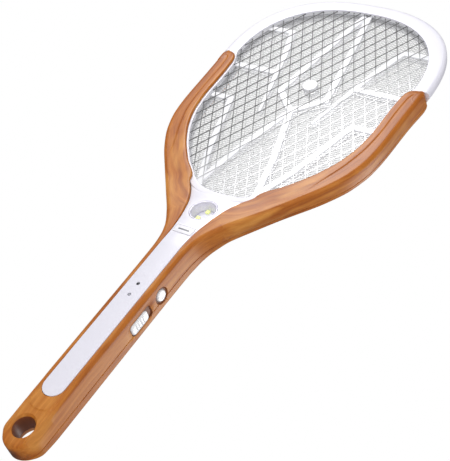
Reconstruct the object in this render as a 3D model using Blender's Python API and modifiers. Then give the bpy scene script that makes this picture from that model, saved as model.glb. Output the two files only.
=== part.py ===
"""Electric fly swatter: wood-print casing, white frames, guard grids, throat lamp, switches and inner parts.

Driving dimensions are in millimetres; MM turns them into metres when a mesh is made.
+X is right seen from the front, -Y is the front, +Z runs from the tail to the head.
"""

import math

import bmesh
import bpy
import numpy as np
from mathutils import Matrix, Vector

MM = 0.001
GAP = 0.3
WALL = 2.2

# Handle and casing
TAIL_RADIUS = 14.0
STRIP_HALF = 9.3
STRIP_START = 43.0
STRIP_THICK = 2.3
STRIP_Y = -12.4
SEAM_Y = 5.0
WIDEST_Y = -1.0
HOLLOW_START = 38.0
HANG_HOLE_Z = 17.0
HANG_HOLE_RADIUS = 8.3
HANG_DISH_RADIUS = 12.6
HANG_DISH_Y = 4.4

# Head
ARM_TIP_Z = 414.2
RING_FACE_Y = 6.0
RING_SEAM_Y = 0.15
RING_WIDTH = 6.0
RIM_COVER = 4.0
RING_LIP_Y = 4.8
ARCH_Z = 416.0
ARCH_OUTER = (102.0, 96.0, 2.45)
ARCH_INNER = (88.5, 82.6, 2.35)
GRID_Y = 4.0
GRID_THICK = 1.0
CELL_LONG = 57.9
CELL_SHORT = 31.8
WIRE = 1.1
RIB_Y = 2.3
RIB_THICK = 1.8
MESH_THICK = 0.4
SPACER_RADIUS = 6.5
SPACER_FACE_Y = 3.2
GRID_CENTRE_Z = 396.0

# Lamp in the throat
LAMP_Z = 234.3
LAMP_Y = -8.1
LAMP_TILT = math.radians(6.4)
LAMP_RADIUS = 11.2
LAMP_DEPTH = 7.5
LED_RING = 5.4
LED_SIZE = 3.4

# Controls on the right side
CONTROL_Y = 0.8
POCKET_X = 12.8
BUTTON_Z = 155.2
BUTTON_RADIUS = 4.8
BUTTON_POCKET = 6.6
KNOB_Z = 127.5
KNOB_LONG = 19.5
KNOB_WIDE = 9.5
KNOB_TRAVEL = 4.0
POWER_DOT_Z = 150.2
CHARGE_DOT_Z = 139.2
DOT_RADIUS = 1.2
PLATE_Z = 209.0
SOCKET_Z = 72.0

# Inside
BOARD_Y = -3.5
BOARD_Z = (110.0, 190.0)
BATTERY_RADIUS = 7.0
BATTERY_Z = (46.0, 96.0)
BATTERY_Y = 1.3
BOARD_HALF = 9.0
BOARD_THICK = 1.4
SCREW_HEAD = 2.3
SCREW_SHANK = 1.2
SCREW_LENGTH = 9.0

HALF_WIDTHS = [
    (14, 14), (60, 14), (150, 14), (175, 14.2), (188, 14.5), (198, 15.8), (208, 19), (223, 28.3),
    (243, 44.2), (266, 62.5), (288, 79), (308, 90), (328, 95.9), (348, 97.9), (380, 98.8),
    (405, 98.8), (409, 98.5), (412, 97.3), (414.2, 95.4),
]
ARM_INNER = [
    (262, 32), (281, 48.7), (301, 64.3), (321, 75), (341, 80.7), (361, 82.6), (381, 82.8),
    (401, 83.9), (406, 85), (410.5, 87.4), (413, 91), (414.2, 94.7),
]
OUTER_DROP = [(262, 15), (281, 15), (301, 11), (321, 6), (341, 2), (361, 0), (401, 0), (414.2, 0.2)]
FRONT_LINE = [
    (0, -8.8), (17, -10.2), (33, -11.3), (37, -12), (190, -12), (225, -10.6), (262, -8.5), (405, -8.5),
    (414.2, -7),
]
REAR_LINE = [(0, 7), (14, 11), (30, 12.4), (190, 12.4), (262, 9), (405, 9), (414.2, 7.4)]
STRIP_LINE = [(43, -12.4), (190, -12.4), (205, -11.4), (234.3, -8.1), (250, -6.3), (258, -5.2)]
STRIP_WIDTHS = [
    (52, 9.3), (190, 9.3), (205, 9.9), (220, 12.2), (230, 14.8), (241, 18.6), (251, 24.4), (262, 31.8),
]
TAPER_LINE = [(190, 0.1), (225, 0.1), (250, 1.0), (285, 1.0), (310, 0.6)]
REAR_ROUND_LINE = [(190, 2.2), (262, 2)]
HOLLOW_FRONT_LINE = [(38, -7.6), (215, -7.4), (245, -6.3)]
HOLLOW_REAR_LINE = [(38, 10.2), (190, 10.2), (250, 6.3)]


def smooth(points):
    """A smooth function through (place, value) points that doesn't overshoot them."""
    place = np.array([p[0] for p in points], float)
    value = np.array([p[1] for p in points], float)
    slope = np.diff(value) / np.diff(place)
    tangent = np.zeros(len(place))
    for i in range(1, len(place) - 1):
        before, after = slope[i - 1], slope[i]
        if before * after > 0:
            tangent[i] = 2 * before * after / (before + after)

    def at(x):
        x = min(max(x, place[0]), place[-1])
        i = min(max(int(np.searchsorted(place, x, "right")) - 1, 0), len(place) - 2)
        h = place[i + 1] - place[i]
        t = (x - place[i]) / h
        rise = t * t * (3 - 2 * t)
        ends = t * (1 - t) ** 2 * h * tangent[i] + t * t * (t - 1) * h * tangent[i + 1]
        return float(value[i] + rise * (value[i + 1] - value[i]) + ends)

    return at


half_width_above_tail = smooth(HALF_WIDTHS)
arm_inner = smooth(ARM_INNER)
outer_drop = smooth(OUTER_DROP)
front_line = smooth(FRONT_LINE)
rear_line = smooth(REAR_LINE)
strip_line = smooth(STRIP_LINE)
strip_width_above_end = smooth(STRIP_WIDTHS)
taper_line = smooth(TAPER_LINE)
rear_round_line = smooth(REAR_ROUND_LINE)
hollow_front_line = smooth(HOLLOW_FRONT_LINE)
hollow_rear_line = smooth(HOLLOW_REAR_LINE)


def half_width(z):
    if z >= TAIL_RADIUS:
        return half_width_above_tail(z)
    return math.sqrt(TAIL_RADIUS**2 - (TAIL_RADIUS - z) ** 2)


def strip_width(z):
    end = STRIP_START + STRIP_HALF
    if z >= end:
        return strip_width_above_end(z)
    return math.sqrt(max(STRIP_HALF**2 - (end - z) ** 2, 0.6))


# Scene, collections and materials


def clear_scene():
    for obj in list(bpy.data.objects):
        bpy.data.objects.remove(obj, do_unlink=True)


def new_collection(name):
    made = bpy.data.collections.new(name)
    bpy.context.scene.collection.children.link(made)
    return made


def material(name, color, roughness, metallic=0.0, alpha=1.0):
    made = bpy.data.materials.new(name)
    made.use_nodes = True
    shader = made.node_tree.nodes["Principled BSDF"]
    shader.inputs["Base Color"].default_value = (*color, 1.0)
    shader.inputs["Roughness"].default_value = roughness
    shader.inputs["Metallic"].default_value = metallic
    shader.inputs["Alpha"].default_value = alpha
    made.diffuse_color = (*color, alpha)
    return made


def place(obj, finish=None, smooth_angle=35.0):
    """Links a sub-part to the object's collection, or a cutter when it has no finish."""
    for held in list(obj.users_collection):
        held.objects.unlink(obj)
    if finish is None:
        CUTTERS.objects.link(obj)
        obj.hide_render = True
        obj.display_type = "WIRE"
        return obj
    PARTS.objects.link(obj)
    obj.data.materials.clear()
    obj.data.materials.append(finish)
    obj.data.shade_smooth()
    obj.data.set_sharp_from_angle(angle=math.radians(smooth_angle))
    return obj


def cut(obj, cutter, operation="DIFFERENCE"):
    modifier = obj.modifiers.new(operation.title() + "_" + cutter.name[:20], "BOOLEAN")
    modifier.operation = operation
    modifier.solver = "EXACT"
    modifier.object = cutter
    return obj


def join(obj, other):
    return cut(obj, other, "UNION")


def mesh_object(name, bm):
    mesh = bpy.data.meshes.new(name)
    bm.to_mesh(mesh)
    bm.free()
    return bpy.data.objects.new(name, mesh)


# Shapes


def loft(name, sections, closed=False, mirrored=False):
    """A solid through sections of equal point count. Mirrored ones are the +X half, open at X = 0."""
    bm = bmesh.new()
    rows = [[bm.verts.new(Vector(p) * MM) for p in section] for section in sections]
    count = len(rows[0])
    last = len(rows) if closed else len(rows) - 1
    for i in range(last):
        here, after = rows[i], rows[(i + 1) % len(rows)]
        for k in range(count):
            n = (k + 1) % count
            bm.faces.new((here[k], here[n], after[n], after[k]))
    if not closed:
        bm.faces.new(rows[0])
        bm.faces.new(rows[-1])
    bmesh.ops.recalc_face_normals(bm, faces=bm.faces)
    bmesh.ops.triangulate(bm, faces=bm.faces)
    if mirrored:
        on_plane = [f for f in bm.faces if all(abs(v.co.x) < 1e-8 for v in f.verts)]
        bmesh.ops.delete(bm, geom=on_plane, context="FACES")
    obj = mesh_object(name, bm)
    if mirrored:
        mirror = obj.modifiers.new("Mirror", "MIRROR")
        mirror.merge_threshold = 0.00001
    return obj


def box(name, low, high, rounding=0.0):
    low, high = Vector(low), Vector(high)
    bm = bmesh.new()
    bmesh.ops.create_cube(bm, size=1.0)
    size = (high - low) * MM
    for vert in bm.verts:
        vert.co = Vector((vert.co.x * size.x, vert.co.y * size.y, vert.co.z * size.z))
    obj = mesh_object(name, bm)
    obj.location = (low + high) * 0.5 * MM
    if rounding:
        round_edges(obj, rounding)
    return obj


def round_edges(obj, width, segments=2, angle=40.0):
    bevel = obj.modifiers.new("Bevel", "BEVEL")
    bevel.width = width * MM
    bevel.segments = segments
    bevel.limit_method = "ANGLE"
    bevel.angle_limit = math.radians(angle)


AXIS_TURN = {
    "X": Matrix.Rotation(math.pi / 2, 4, "Y"),
    "Y": Matrix.Rotation(math.pi / 2, 4, "X"),
    "Z": Matrix.Identity(4),
}


def rod(name, axis, start, radius, length, end_radius=None, sides=24):
    """A cylinder or cone from start along +axis ('X', 'Y' or 'Z')."""
    bm = bmesh.new()
    top = radius if end_radius is None else end_radius
    if axis == "Y":
        radius, top = top, radius
    bmesh.ops.create_cone(
        bm, cap_ends=True, segments=sides, radius1=radius * MM, radius2=top * MM, depth=length * MM
    )
    bmesh.ops.transform(bm, matrix=AXIS_TURN[axis], verts=bm.verts)
    obj = mesh_object(name, bm)
    along = {"X": Vector((1, 0, 0)), "Y": Vector((0, 1, 0)), "Z": Vector((0, 0, 1))}[axis]
    obj.location = (Vector(start) + along * length / 2) * MM
    return obj


def turned(name, profile, steps=32):
    """A solid of revolution about its own Z: (radius, height) points run down the outer side."""
    mesh = bpy.data.meshes.new(name)
    points = [(r * MM, 0.0, h * MM) for r, h in profile]
    mesh.from_pydata(points, [(i, i + 1) for i in range(len(points) - 1)], [])
    obj = bpy.data.objects.new(name, mesh)
    screw = obj.modifiers.new("Screw", "SCREW")
    screw.steps = steps
    screw.render_steps = steps
    screw.use_merge_vertices = True
    screw.merge_threshold = 0.00001
    return obj


def wire(name, points, radius):
    """A flexible lead along a poly-line with filled ends."""
    curve = bpy.data.curves.new(name, "CURVE")
    curve.dimensions = "3D"
    curve.bevel_depth = radius * MM
    curve.bevel_resolution = 1
    curve.use_fill_caps = True
    spline = curve.splines.new("POLY")
    spline.points.add(len(points) - 1)
    for held, point in zip(spline.points, points):
        held.co = (*(Vector(point) * MM), 1.0)
    shaped = bpy.data.objects.new(name + "_guide", curve)
    bpy.context.scene.collection.objects.link(shaped)
    graph = bpy.context.evaluated_depsgraph_get()
    mesh = bpy.data.meshes.new_from_object(shaped.evaluated_get(graph))
    bm = bmesh.new()
    bm.from_mesh(mesh)
    bmesh.ops.remove_doubles(bm, verts=bm.verts, dist=0.000001)
    bmesh.ops.recalc_face_normals(bm, faces=bm.faces)
    bm.to_mesh(mesh)
    bm.free()
    bpy.data.objects.remove(shaped, do_unlink=True)
    mesh.name = name
    return bpy.data.objects.new(name, mesh)


# Casing sections: d runs from an arm's inner edge, or the handle's middle, to the outer edge


def casing_stations():
    """(inner point, outer point) pairs in the X-Z plane, from the tail to the arm's tip."""
    pairs = []
    for turn in (2, 15, 30, 45, 60, 75, 90):
        z = TAIL_RADIUS * (1 - math.cos(math.radians(turn)))
        pairs.append(((0, z), (half_width(z), z)))
    for z in (20, 27, 31, 36, 44, 100, 150, 170, 182):
        pairs.append(((0, z), (half_width(z), z)))
    throat = ((192, 191), (202, 199), (212, 206), (223, 212), (234, 218), (243, 221.5), (249, 224))
    for inner, outer in throat:
        pairs.append(((0, inner), (half_width(outer), outer)))
    for x, inner, outer in ((8, 250.5, 229), (16, 252.5, 234), (24, 256.5, 240)):
        pairs.append(((x, inner), (half_width(outer), outer)))
    for z in (262, 271, 281, 291, 301, 311, 321, 331, 341, 355, 381, 396, 401, 406, 410.5, 413, 414.2):
        low = z - outer_drop(z)
        pairs.append(((arm_inner(z), z), (half_width(low), low)))
    return pairs


def on_plane(pair, d, y):
    """The 3-D point at distance d from the inner edge and depth y."""
    inner, outer = Vector(pair[0]), Vector(pair[1])
    along = (outer - inner).normalized()
    spot = inner + along * d
    if abs(inner.x) < 1e-9 and abs(d) < 1e-9:
        spot.x = 0.0
    return Vector((spot.x, y, spot.y))


def casing_section(pair, front):
    inner, outer = Vector(pair[0]), Vector(pair[1])
    length = (outer - inner).length
    z = (inner.y + outer.y) / 2
    face, back = front_line(z), rear_line(z)
    taper = min(taper_line(z), 0.3 * length)
    round_front = min(3.2, 0.35 * length)
    round_rear = min(rear_round_line(z), 0.35 * length)
    if front:
        points = [(0, face)]
        for k in range(4):
            turn = math.radians(30 * k)
            across = length - round_front * (1 - math.sin(turn))
            points.append((across, face + round_front * (1 - math.cos(turn))))
        points.append((length, WIDEST_Y))
        seam = SEAM_Y - GAP / 2
        inset = taper * (seam - WIDEST_Y) / (max(back - round_rear, seam) - WIDEST_Y)
        points += [(length - inset, seam), (0, seam)]
    else:
        seam = SEAM_Y + GAP / 2
        low = max(back - round_rear, seam + 0.05)
        inset = taper * (seam - WIDEST_Y) / (low - WIDEST_Y)
        points = [(0, seam), (length - inset, seam)]
        for k in range(4):
            turn = math.radians(30 * k)
            across = length - taper - round_rear * (1 - math.cos(turn))
            points.append((across, low + (back - low) * math.sin(turn)))
        points.append((0, back))
    return [on_plane(pair, d, y) for d, y in points]


def casing_solid(name, front):
    sections = [casing_section(pair, front) for pair in casing_stations()]
    return loft(name, sections, mirrored=True)


def casing_hollow(name):
    """The space inside both shells, which also lets the head frames pass under the arms."""
    sections = []
    for pair in casing_stations():
        inner, outer = Vector(pair[0]), Vector(pair[1])
        z = (inner.y + outer.y) / 2
        if inner.y < HOLLOW_START + 5 or inner.y > 401:
            continue
        length = (outer - inner).length
        face, back = hollow_front_line(z), hollow_rear_line(z)
        taper = min(taper_line(z), 0.3 * length)
        edge = length - WALL
        low = max(back - 3.0, 3.0)
        profile = [
            (edge - 1.3, face), (edge, face + 1.5), (edge, WIDEST_Y), (edge - taper, low),
            (edge - taper - 1.2, back),
        ]
        start = Vector((0, 0))
        if 0.5 < inner.x < 28 or inner.y > 248 and inner.x < 28:
            start = Vector((0, 6))
        elif inner.x >= 28:
            start = (inner - outer).normalized() * 6
        lead = inner + start
        points = [Vector((lead.x, face, lead.y))]
        points += [on_plane(pair, d, y) for d, y in profile]
        points.append(Vector((lead.x, back, lead.y)))
        sections.append(points)
    first = [Vector((p.x, p.y, HOLLOW_START)) for p in sections[0]]
    sections.insert(0, first)
    for x, z, reach in ((84.2, 402.5, 5.6), (86.0, 408, 5.8), (88.8, 418, 6.2)):
        far = x + reach
        ends = [(far - 1, -6.3), (far, -5.3), (far, -1), (far, 3), (far - 1, 6.3)]
        row = [Vector((x - 8, -6.3, z))]
        row += [Vector((px, py, z)) for px, py in ends]
        row.append(Vector((x - 8, 6.3, z)))
        sections.append(row)
    return loft(name, sections, mirrored=True)


def strip_solid(name, side_gap=0.0, top=None, drop=0.0, end=258.0):
    """The white strip and throat plate, or with a gap and a top the recess that it sits in."""
    lows = [STRIP_START + STRIP_HALF * (1 - math.cos(math.radians(15 * k))) for k in range(1, 7)]
    places = lows + [100, 150, 190, 197, 205, 212, 220, 227, 234, 241, 247, 253, end]
    sections = []
    for z in places:
        wide = strip_width(z) + side_gap
        face = strip_line(z)
        base = face + STRIP_THICK + drop
        upper = face if top is None else top
        ease = 0.0 if top is not None else min(0.5, wide / 3)
        place_z = z - side_gap if z < STRIP_START + 2 else z
        shoulder = upper + ease + 0.01
        points = [(0, upper), (wide - ease, upper), (wide, shoulder), (wide, base), (0, base)]
        sections.append([Vector((x, y, place_z)) for x, y in points])
    return loft(name, sections, mirrored=True)


# Head outlines


def arch(shape, turn):
    half, rise, power = shape
    x = half * max(math.cos(turn), 0.0) ** (2 / power)
    return Vector((x, ARCH_Z + rise * math.sin(turn) ** (2 / power)))


def opening_half():
    """(opening point, frame's outer point) pairs of the +X half, from the bottom to the top."""
    inner = [Vector(p) for p in ((0, 256.5), (9, 256.9), (18, 258.4), (25, 261.2), (31.5, 266.2))]
    for z in (276, 286, 296, 306, 316, 326, 336, 348, 364, 381, 397, 404, 410):
        side = Vector((arm_inner(z) - 2, z))
        if z > 401:
            side.x = 81.9 + (z - 401) * 0.41
        inner.append(side)
    pairs = []
    for i, spot in enumerate(inner):
        before = inner[i - 1] if i else Vector((-9, 256.9))
        after = inner[i + 1] if i + 1 < len(inner) else Vector((86.5, 413))
        along = (after - before).normalized()
        pairs.append((spot, spot + Vector((along.y, -along.x)) * RING_WIDTH))
    pairs.append((Vector((87.5, ARM_TIP_Z + 0.1)), Vector((93.4, ARM_TIP_Z + GAP))))
    pairs.append((Vector((87.6, ARM_TIP_Z + 0.4)), Vector((ARCH_OUTER[0], ARM_TIP_Z + 0.4))))
    for step in range(1, 14):
        turn = math.radians(90) * (step / 14) ** 1.25
        pairs.append((arch(ARCH_INNER, turn), arch(ARCH_OUTER, turn)))
    top = math.radians(90)
    pairs.append((Vector((0, arch(ARCH_INNER, top).y)), Vector((0, arch(ARCH_OUTER, top).y))))
    return pairs


def opening_loop():
    right = opening_half()
    left = [(Vector((-a.x, a.y)), Vector((-b.x, b.y))) for a, b in right[1:-1]]
    return right + left[::-1]


def ring_solid(name, side):
    """Half of the head frame: side -1 is the front half, +1 the rear half."""
    sections = []
    for pair in opening_loop():
        inner, outer = pair
        width = (outer - inner).length
        wide = width > RING_WIDTH + 1
        lean = 5.0 if wide and side > 0 else 0.0
        soft = 2.4 if wide else 0.8
        flat = width - lean - soft
        profile = [
            (0.8, RING_FACE_Y), (0, RING_FACE_Y - 0.6), (0, RING_LIP_Y), (RIM_COVER + GAP, RING_LIP_Y),
            (RIM_COVER + GAP, RING_SEAM_Y), (width, RING_SEAM_Y), (width - 0.45 * lean, 3.2),
            (flat + 0.7 * soft, RING_FACE_Y - 0.8), (flat, RING_FACE_Y),
        ]
        sections.append([on_plane_free(inner, outer, d, side * y) for d, y in profile])
    return loft(name, sections, closed=True)


def on_plane_free(inner, outer, d, y):
    spot = inner + (outer - inner).normalized() * d
    return Vector((spot.x, y, spot.y))


def loop_slab(name, offset_in, offset_out, low, high):
    """A flat ring, or a flat sheet when offset_in is None, that follows the head opening."""
    sections = []
    for inner, outer in opening_loop():
        out = [on_plane_free(inner, outer, offset_out, y) for y in (low, high)]
        if offset_in is None:
            sections.append(out)
        else:
            inside = [on_plane_free(inner, outer, offset_in, y) for y in (high, low)]
            sections.append(out + inside)
    if offset_in is not None:
        return loft(name, sections, closed=True)
    bm = bmesh.new()
    lower = [bm.verts.new(s[0] * MM) for s in sections]
    upper = [bm.verts.new(s[1] * MM) for s in sections]
    for i in range(len(lower)):
        n = (i + 1) % len(lower)
        bm.faces.new((lower[i], lower[n], upper[n], upper[i]))
    bm.faces.new(lower)
    bm.faces.new(upper)
    bmesh.ops.recalc_face_normals(bm, faces=bm.faces)
    return mesh_object(name, bm)


# Head pieces


def bar(bm, start, end, width, end_width, low, high):
    """One flat bar, added to bm as its own closed shape."""
    start, end = Vector(start), Vector(end)
    along = (end - start).normalized()
    across = Vector((along.y, -along.x))
    corners = [
        start + across * width / 2, start - across * width / 2,
        end - across * end_width / 2, end + across * end_width / 2,
    ]
    made = bmesh.ops.create_cube(bm, size=1.0)["verts"]
    for vert in made:
        index = (3 if vert.co.x > 0 else 0) if vert.co.z > 0 else (2 if vert.co.x > 0 else 1)
        y = high if vert.co.y > 0 else low
        vert.co = Vector((corners[index].x, y, corners[index].y)) * MM


def guard_grid(name, side):
    """Diamond lattice inside a rim. Bars run both ways across the opening."""
    low, high = sorted((side * (GRID_Y - GRID_THICK / 2), side * (GRID_Y + GRID_THICK / 2)))
    obj = loop_slab(name, 1.0, RIM_COVER, low, high)
    bars = bmesh.new()
    rise = CELL_LONG / CELL_SHORT
    reach = 150.0
    for lean in (-1, 1):
        for k in range(-12, 13):
            x = k * CELL_SHORT
            start = Vector((x - reach, GRID_CENTRE_Z - lean * reach * rise))
            end = Vector((x + reach, GRID_CENTRE_Z + lean * reach * rise))
            bar(bars, start, end, WIRE, WIRE, low, high)
    lattice = place(mesh_object(name + "_bars", bars))
    trim = place(loop_slab(name + "_trim", None, RIM_COVER - 1.2, low - 1, high + 1))
    trimmed = lattice.modifiers.new("Trim", "BOOLEAN")
    trimmed.operation = "INTERSECT"
    trimmed.object = trim
    trimmed.use_self = True
    join(obj, lattice)
    return place(obj, GRID_METAL, 20)


RIB_BARS = [
    ((0, 503), (6, 478), 7, 6), ((6, 478), (23.2, 383), 6, 6), ((98, 459), (56, 459), 6, 6),
    ((56, 459), (45.3, 428), 6, 6), ((45.3, 428), (26, 355), 6, 2.5), ((94, 404), (39, 404), 6, 6),
    ((23.2, 385), (0, 363), 6, 6), ((0, 363), (17.7, 308), 6, 6), ((17.7, 308), (26.5, 268), 6, 6),
    ((92, 361.5), (60, 361.5), 6, 6), ((60, 361.5), (40.8, 298), 6, 6), ((40.8, 298), (25, 262), 6, 6),
]


def rib_bracket(name, side):
    """Moulded zig-zag ribs that hold a grid and the mesh apart."""
    low, high = sorted((side * (RIB_Y - RIB_THICK / 2), side * (RIB_Y + RIB_THICK / 2)))
    obj = loop_slab(name, 0.2, RIM_COVER, low, high)
    bars = bmesh.new()
    for start, end, width, end_width in RIB_BARS:
        for flip in (1, -1):
            a = (start[0] * flip, start[1])
            b = (end[0] * flip, end[1])
            bar(bars, a, b, width, end_width, low, high)
    ribs = place(mesh_object(name + "_bars", bars))
    trim = place(loop_slab(name + "_trim", None, RIM_COVER - 1.2, low - 1, high + 1))
    trimmed = ribs.modifiers.new("Trim", "BOOLEAN")
    trimmed.operation = "INTERSECT"
    trimmed.object = trim
    trimmed.use_self = True
    join(obj, ribs)
    return place(obj, WHITE_PLASTIC, 30)


def centre_spacer(name, side):
    """Round spacer between a grid and the mesh, in the middle of the head."""
    near, far = side * (MESH_THICK / 2 + GAP), side * SPACER_FACE_Y
    disc = rod(name, "Y", (0, min(near, far), GRID_CENTRE_Z), SPACER_RADIUS, abs(far - near), sides=32)
    round_edges(disc, 0.3)
    return place(disc, WHITE_PLASTIC, 30)


# Casing pieces


def arm_spot(z, d):
    """A point in plan on the right arm, d from the inner edge."""
    low = z - outer_drop(z)
    inner, outer = Vector((arm_inner(z), z)), Vector((half_width(low), low))
    return inner + (outer - inner).normalized() * d


def screw_spots():
    """Name and (x, z, rear face) of each housing screw."""
    spots = {"tail": (0.0, 31.5), "middle": (0.0, 103.5), "upper": (0.0, 196.5)}
    for label, z in (("low", 318.0), ("high", 385.0)):
        spot = arm_spot(z, 7.6)
        spots["right_" + label] = (spot.x, spot.y)
        spots["left_" + label] = (-spot.x, spot.y)
    return {name: (x, z, rear_line(z)) for name, (x, z) in spots.items()}


def hollow_with_bosses(front):
    """The casing's inner space, less the screw bosses that stay solid in one shell."""
    side = "front_" if front else "rear_"
    hollow = place(casing_hollow(side + "hollow"))
    for name, (x, z, rear) in screw_spots().items():
        if name != "tail":
            radius = 3.0 if x == 0 else 2.7
            cut(hollow, place(rod(side + name + "_boss", "Y", (x, -15, z), radius, 30, sides=20)))
    return hollow


def bore_screws(shell, front):
    for name, (x, z, rear) in screw_spots().items():
        label = ("front_" if front else "rear_") + name
        if front:
            cut(shell, place(rod(label + "_bore", "Y", (x, -4.5, z), SCREW_SHANK + GAP, 12, sides=16)))
        else:
            cut(shell, place(rod(label + "_bore", "Y", (x, 3, z), SCREW_SHANK + GAP, 20, sides=16)))
            cut(shell, place(rod(label + "_sink", "Y", (x, rear - 1.6, z), SCREW_HEAD + GAP, 10, sides=20)))


def cut_control_openings(shell, side):
    """Pockets and wall openings of the push button and the slide knob; they cross the seam."""
    pocket_start, bore_start = (POCKET_X, CONTROL_Y, BUTTON_Z), (10, CONTROL_Y, BUTTON_Z)
    cut(shell, place(rod(side + "button_pocket", "X", pocket_start, BUTTON_POCKET, 6, sides=28)))
    cut(shell, place(rod(side + "button_bore", "X", bore_start, BUTTON_RADIUS + GAP, 6, sides=28)))
    half_wide = KNOB_WIDE / 2 + 0.4
    low = KNOB_Z - KNOB_LONG / 2 - 0.45
    high = KNOB_Z + KNOB_LONG / 2 + KNOB_TRAVEL + 0.45
    near, far = CONTROL_Y - half_wide, CONTROL_Y + half_wide
    pocket = box(side + "knob_pocket", (POCKET_X, near, low), (18, far, high))
    cut(shell, place(round_upright(pocket, 3.0)))
    middle = KNOB_Z + KNOB_TRAVEL / 2
    slot = box(side + "knob_slot", (9, CONTROL_Y - 2.4, middle - 6.5), (18, CONTROL_Y + 2.4, middle + 6.5))
    cut(shell, place(slot))


def front_shell():
    shell = casing_solid("front_shell", True)
    cut(shell, hollow_with_bosses(True))
    cut(shell, place(strip_solid("strip_recess", GAP, -20.0, GAP, 266.0)))
    cut(shell, place(rod("hang_hole", "Y", (0, -30, HANG_HOLE_Z), HANG_HOLE_RADIUS, 60, sides=40)))
    cut(shell, place(rod("hang_rim_front", "Y", (0, -13.2, HANG_HOLE_Z), 12.2, 6.6, 7.0, sides=40)))
    bore_screws(shell, True)
    cut_control_openings(shell, "front_")
    cut(shell, lamp_cutter("lamp_clearance", LAMP_RADIUS + 0.9))
    for label, z in (("power", POWER_DOT_Z), ("charge", CHARGE_DOT_Z)):
        cut(shell, place(rod(label + "_dot_bore", "Y", (0, -14, z), DOT_RADIUS + GAP, 9, sides=16)))
    mouth = box("socket_mouth", (-18, CONTROL_Y - 2.0, SOCKET_Z - 4.3), (-9, CONTROL_Y + 2.0, SOCKET_Z + 4.3))
    cut(shell, place(mouth))
    return place(shell, WOOD_PRINT)


def rear_shell():
    shell = casing_solid("rear_shell", False)
    cut(shell, place(rod("hang_hole_rear", "Y", (0, -30, HANG_HOLE_Z), HANG_HOLE_RADIUS, 60, sides=40)))
    dish_start, dish_base = (0, HANG_DISH_Y, HANG_HOLE_Z), HANG_HOLE_RADIUS - 0.1
    dish = rod("hang_dish_rear", "Y", dish_start, dish_base, 8.8, HANG_DISH_RADIUS, sides=40)
    cut(shell, place(dish))
    bore_screws(shell, False)
    cut_control_openings(shell, "rear_")
    cut(shell, hollow_with_bosses(False))
    return place(shell, WOOD_PRINT)


def round_upright(obj, width):
    """Rounds the four edges that run along X."""
    bm = bmesh.new()
    bm.from_mesh(obj.data)
    edges = [e for e in bm.edges if abs(e.verts[0].co.x - e.verts[1].co.x) > 1e-6]
    bmesh.ops.bevel(bm, geom=edges, offset=width * MM, segments=4, profile=0.5, affect="EDGES")
    bm.to_mesh(obj.data)
    bm.free()
    return obj


def lamp_matrix():
    """The lamp's own +Z points out of the throat, leaning with the plate around it."""
    turn = Matrix.Rotation(math.pi / 2 - LAMP_TILT, 4, "X")
    return Matrix.Translation(Vector((0, LAMP_Y, LAMP_Z)) * MM) @ turn


def lamp_cutter(name, radius):
    cutter = place(turned(name, [(0, 10), (radius, 10), (radius, -12), (0, -12)]))
    cutter.matrix_world = lamp_matrix()
    return cutter


def front_frame():
    frame = ring_solid("front_frame", -1)
    plate = place(strip_solid("strip_and_throat"))
    cut(plate, place(loop_slab("lip_clearance", None, 0.9, -20, -4.7)))
    cut(plate, place(loop_slab("seat_clearance", None, RIM_COVER + GAP + 0.05, -4.72, 10)))
    join(frame, plate)
    cut(frame, lamp_cutter("lamp_window", LAMP_RADIUS + GAP))
    for label, z in (("power", POWER_DOT_Z), ("charge", CHARGE_DOT_Z)):
        cut(frame, place(rod(label + "_dot_window", "Y", (0, -14, z), DOT_RADIUS + GAP, 9, sides=16)))
    seat = box("name_plate_seat", (-8.9, -3, -4.15), (8.9, 0.6, 4.15))
    set_on_throat(seat, PLATE_Z)
    cut(frame, place(seat))
    return place(frame, WHITE_PLASTIC)


def rear_frame():
    return place(ring_solid("rear_frame", 1), WHITE_PLASTIC)


def throat_slope(z):
    return math.atan((strip_line(z + 1) - strip_line(z - 1)) / 2)


def set_on_throat(obj, z):
    """Moves a piece that was built round the origin onto the throat plate, leaning with it."""
    lean = Matrix.Rotation(-throat_slope(z), 4, "X")
    spot = Matrix.Translation(Vector((0, strip_line(z), z)) * MM)
    obj.matrix_world = spot @ lean @ Matrix.Translation(obj.location)


# Lamp


def lamp_pieces():
    holder = bpy.data.objects.new("lamp_axis", None)
    PARTS.objects.link(holder)
    holder.matrix_world = lamp_matrix()
    rim, deep = LAMP_RADIUS, LAMP_DEPTH
    cup = turned("lamp_reflector", [
        (8.4, 1.2 - deep), (rim - 0.8, -1.6), (rim - 0.8, -0.1), (rim, -0.1), (rim, -1.8), (9.5, 0.8 - deep),
        (9.5, -deep - 1.5), (8.4, -deep - 1.5), (8.4, 1.2 - deep),
    ], 28)
    edge = rim - 1.1
    lens = turned("lamp_lens", [
        (0, -0.5), (4, -0.55), (edge - 0.4, -0.7), (edge, -1.1), (edge, -1.3), (edge - 0.3, -1.6), (0, -1.6),
    ], 24)
    board = turned("lamp_board", [(0, -deep), (8.0, -deep), (8.0, -deep - 1.2), (0, -deep - 1.2)], 24)
    place(cup, CHROME)
    place(lens, CLEAR)
    place(board, BOARD_GREEN)
    pieces = [cup, lens, board]
    half = LED_SIZE / 2
    for label, angle in (("upper", 100), ("left", 220), ("right", 340)):
        turn = math.radians(angle)
        led = box("lamp_led_" + label, (-half, -half, GAP - deep), (half, half, GAP + 1.6 - deep), 0.4)
        led.location += Vector((LED_RING * math.cos(turn), LED_RING * math.sin(turn), 0)) * MM
        pieces.append(place(led, LED_YELLOW))
    for piece in pieces:
        piece.parent = holder


# Controls


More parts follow.
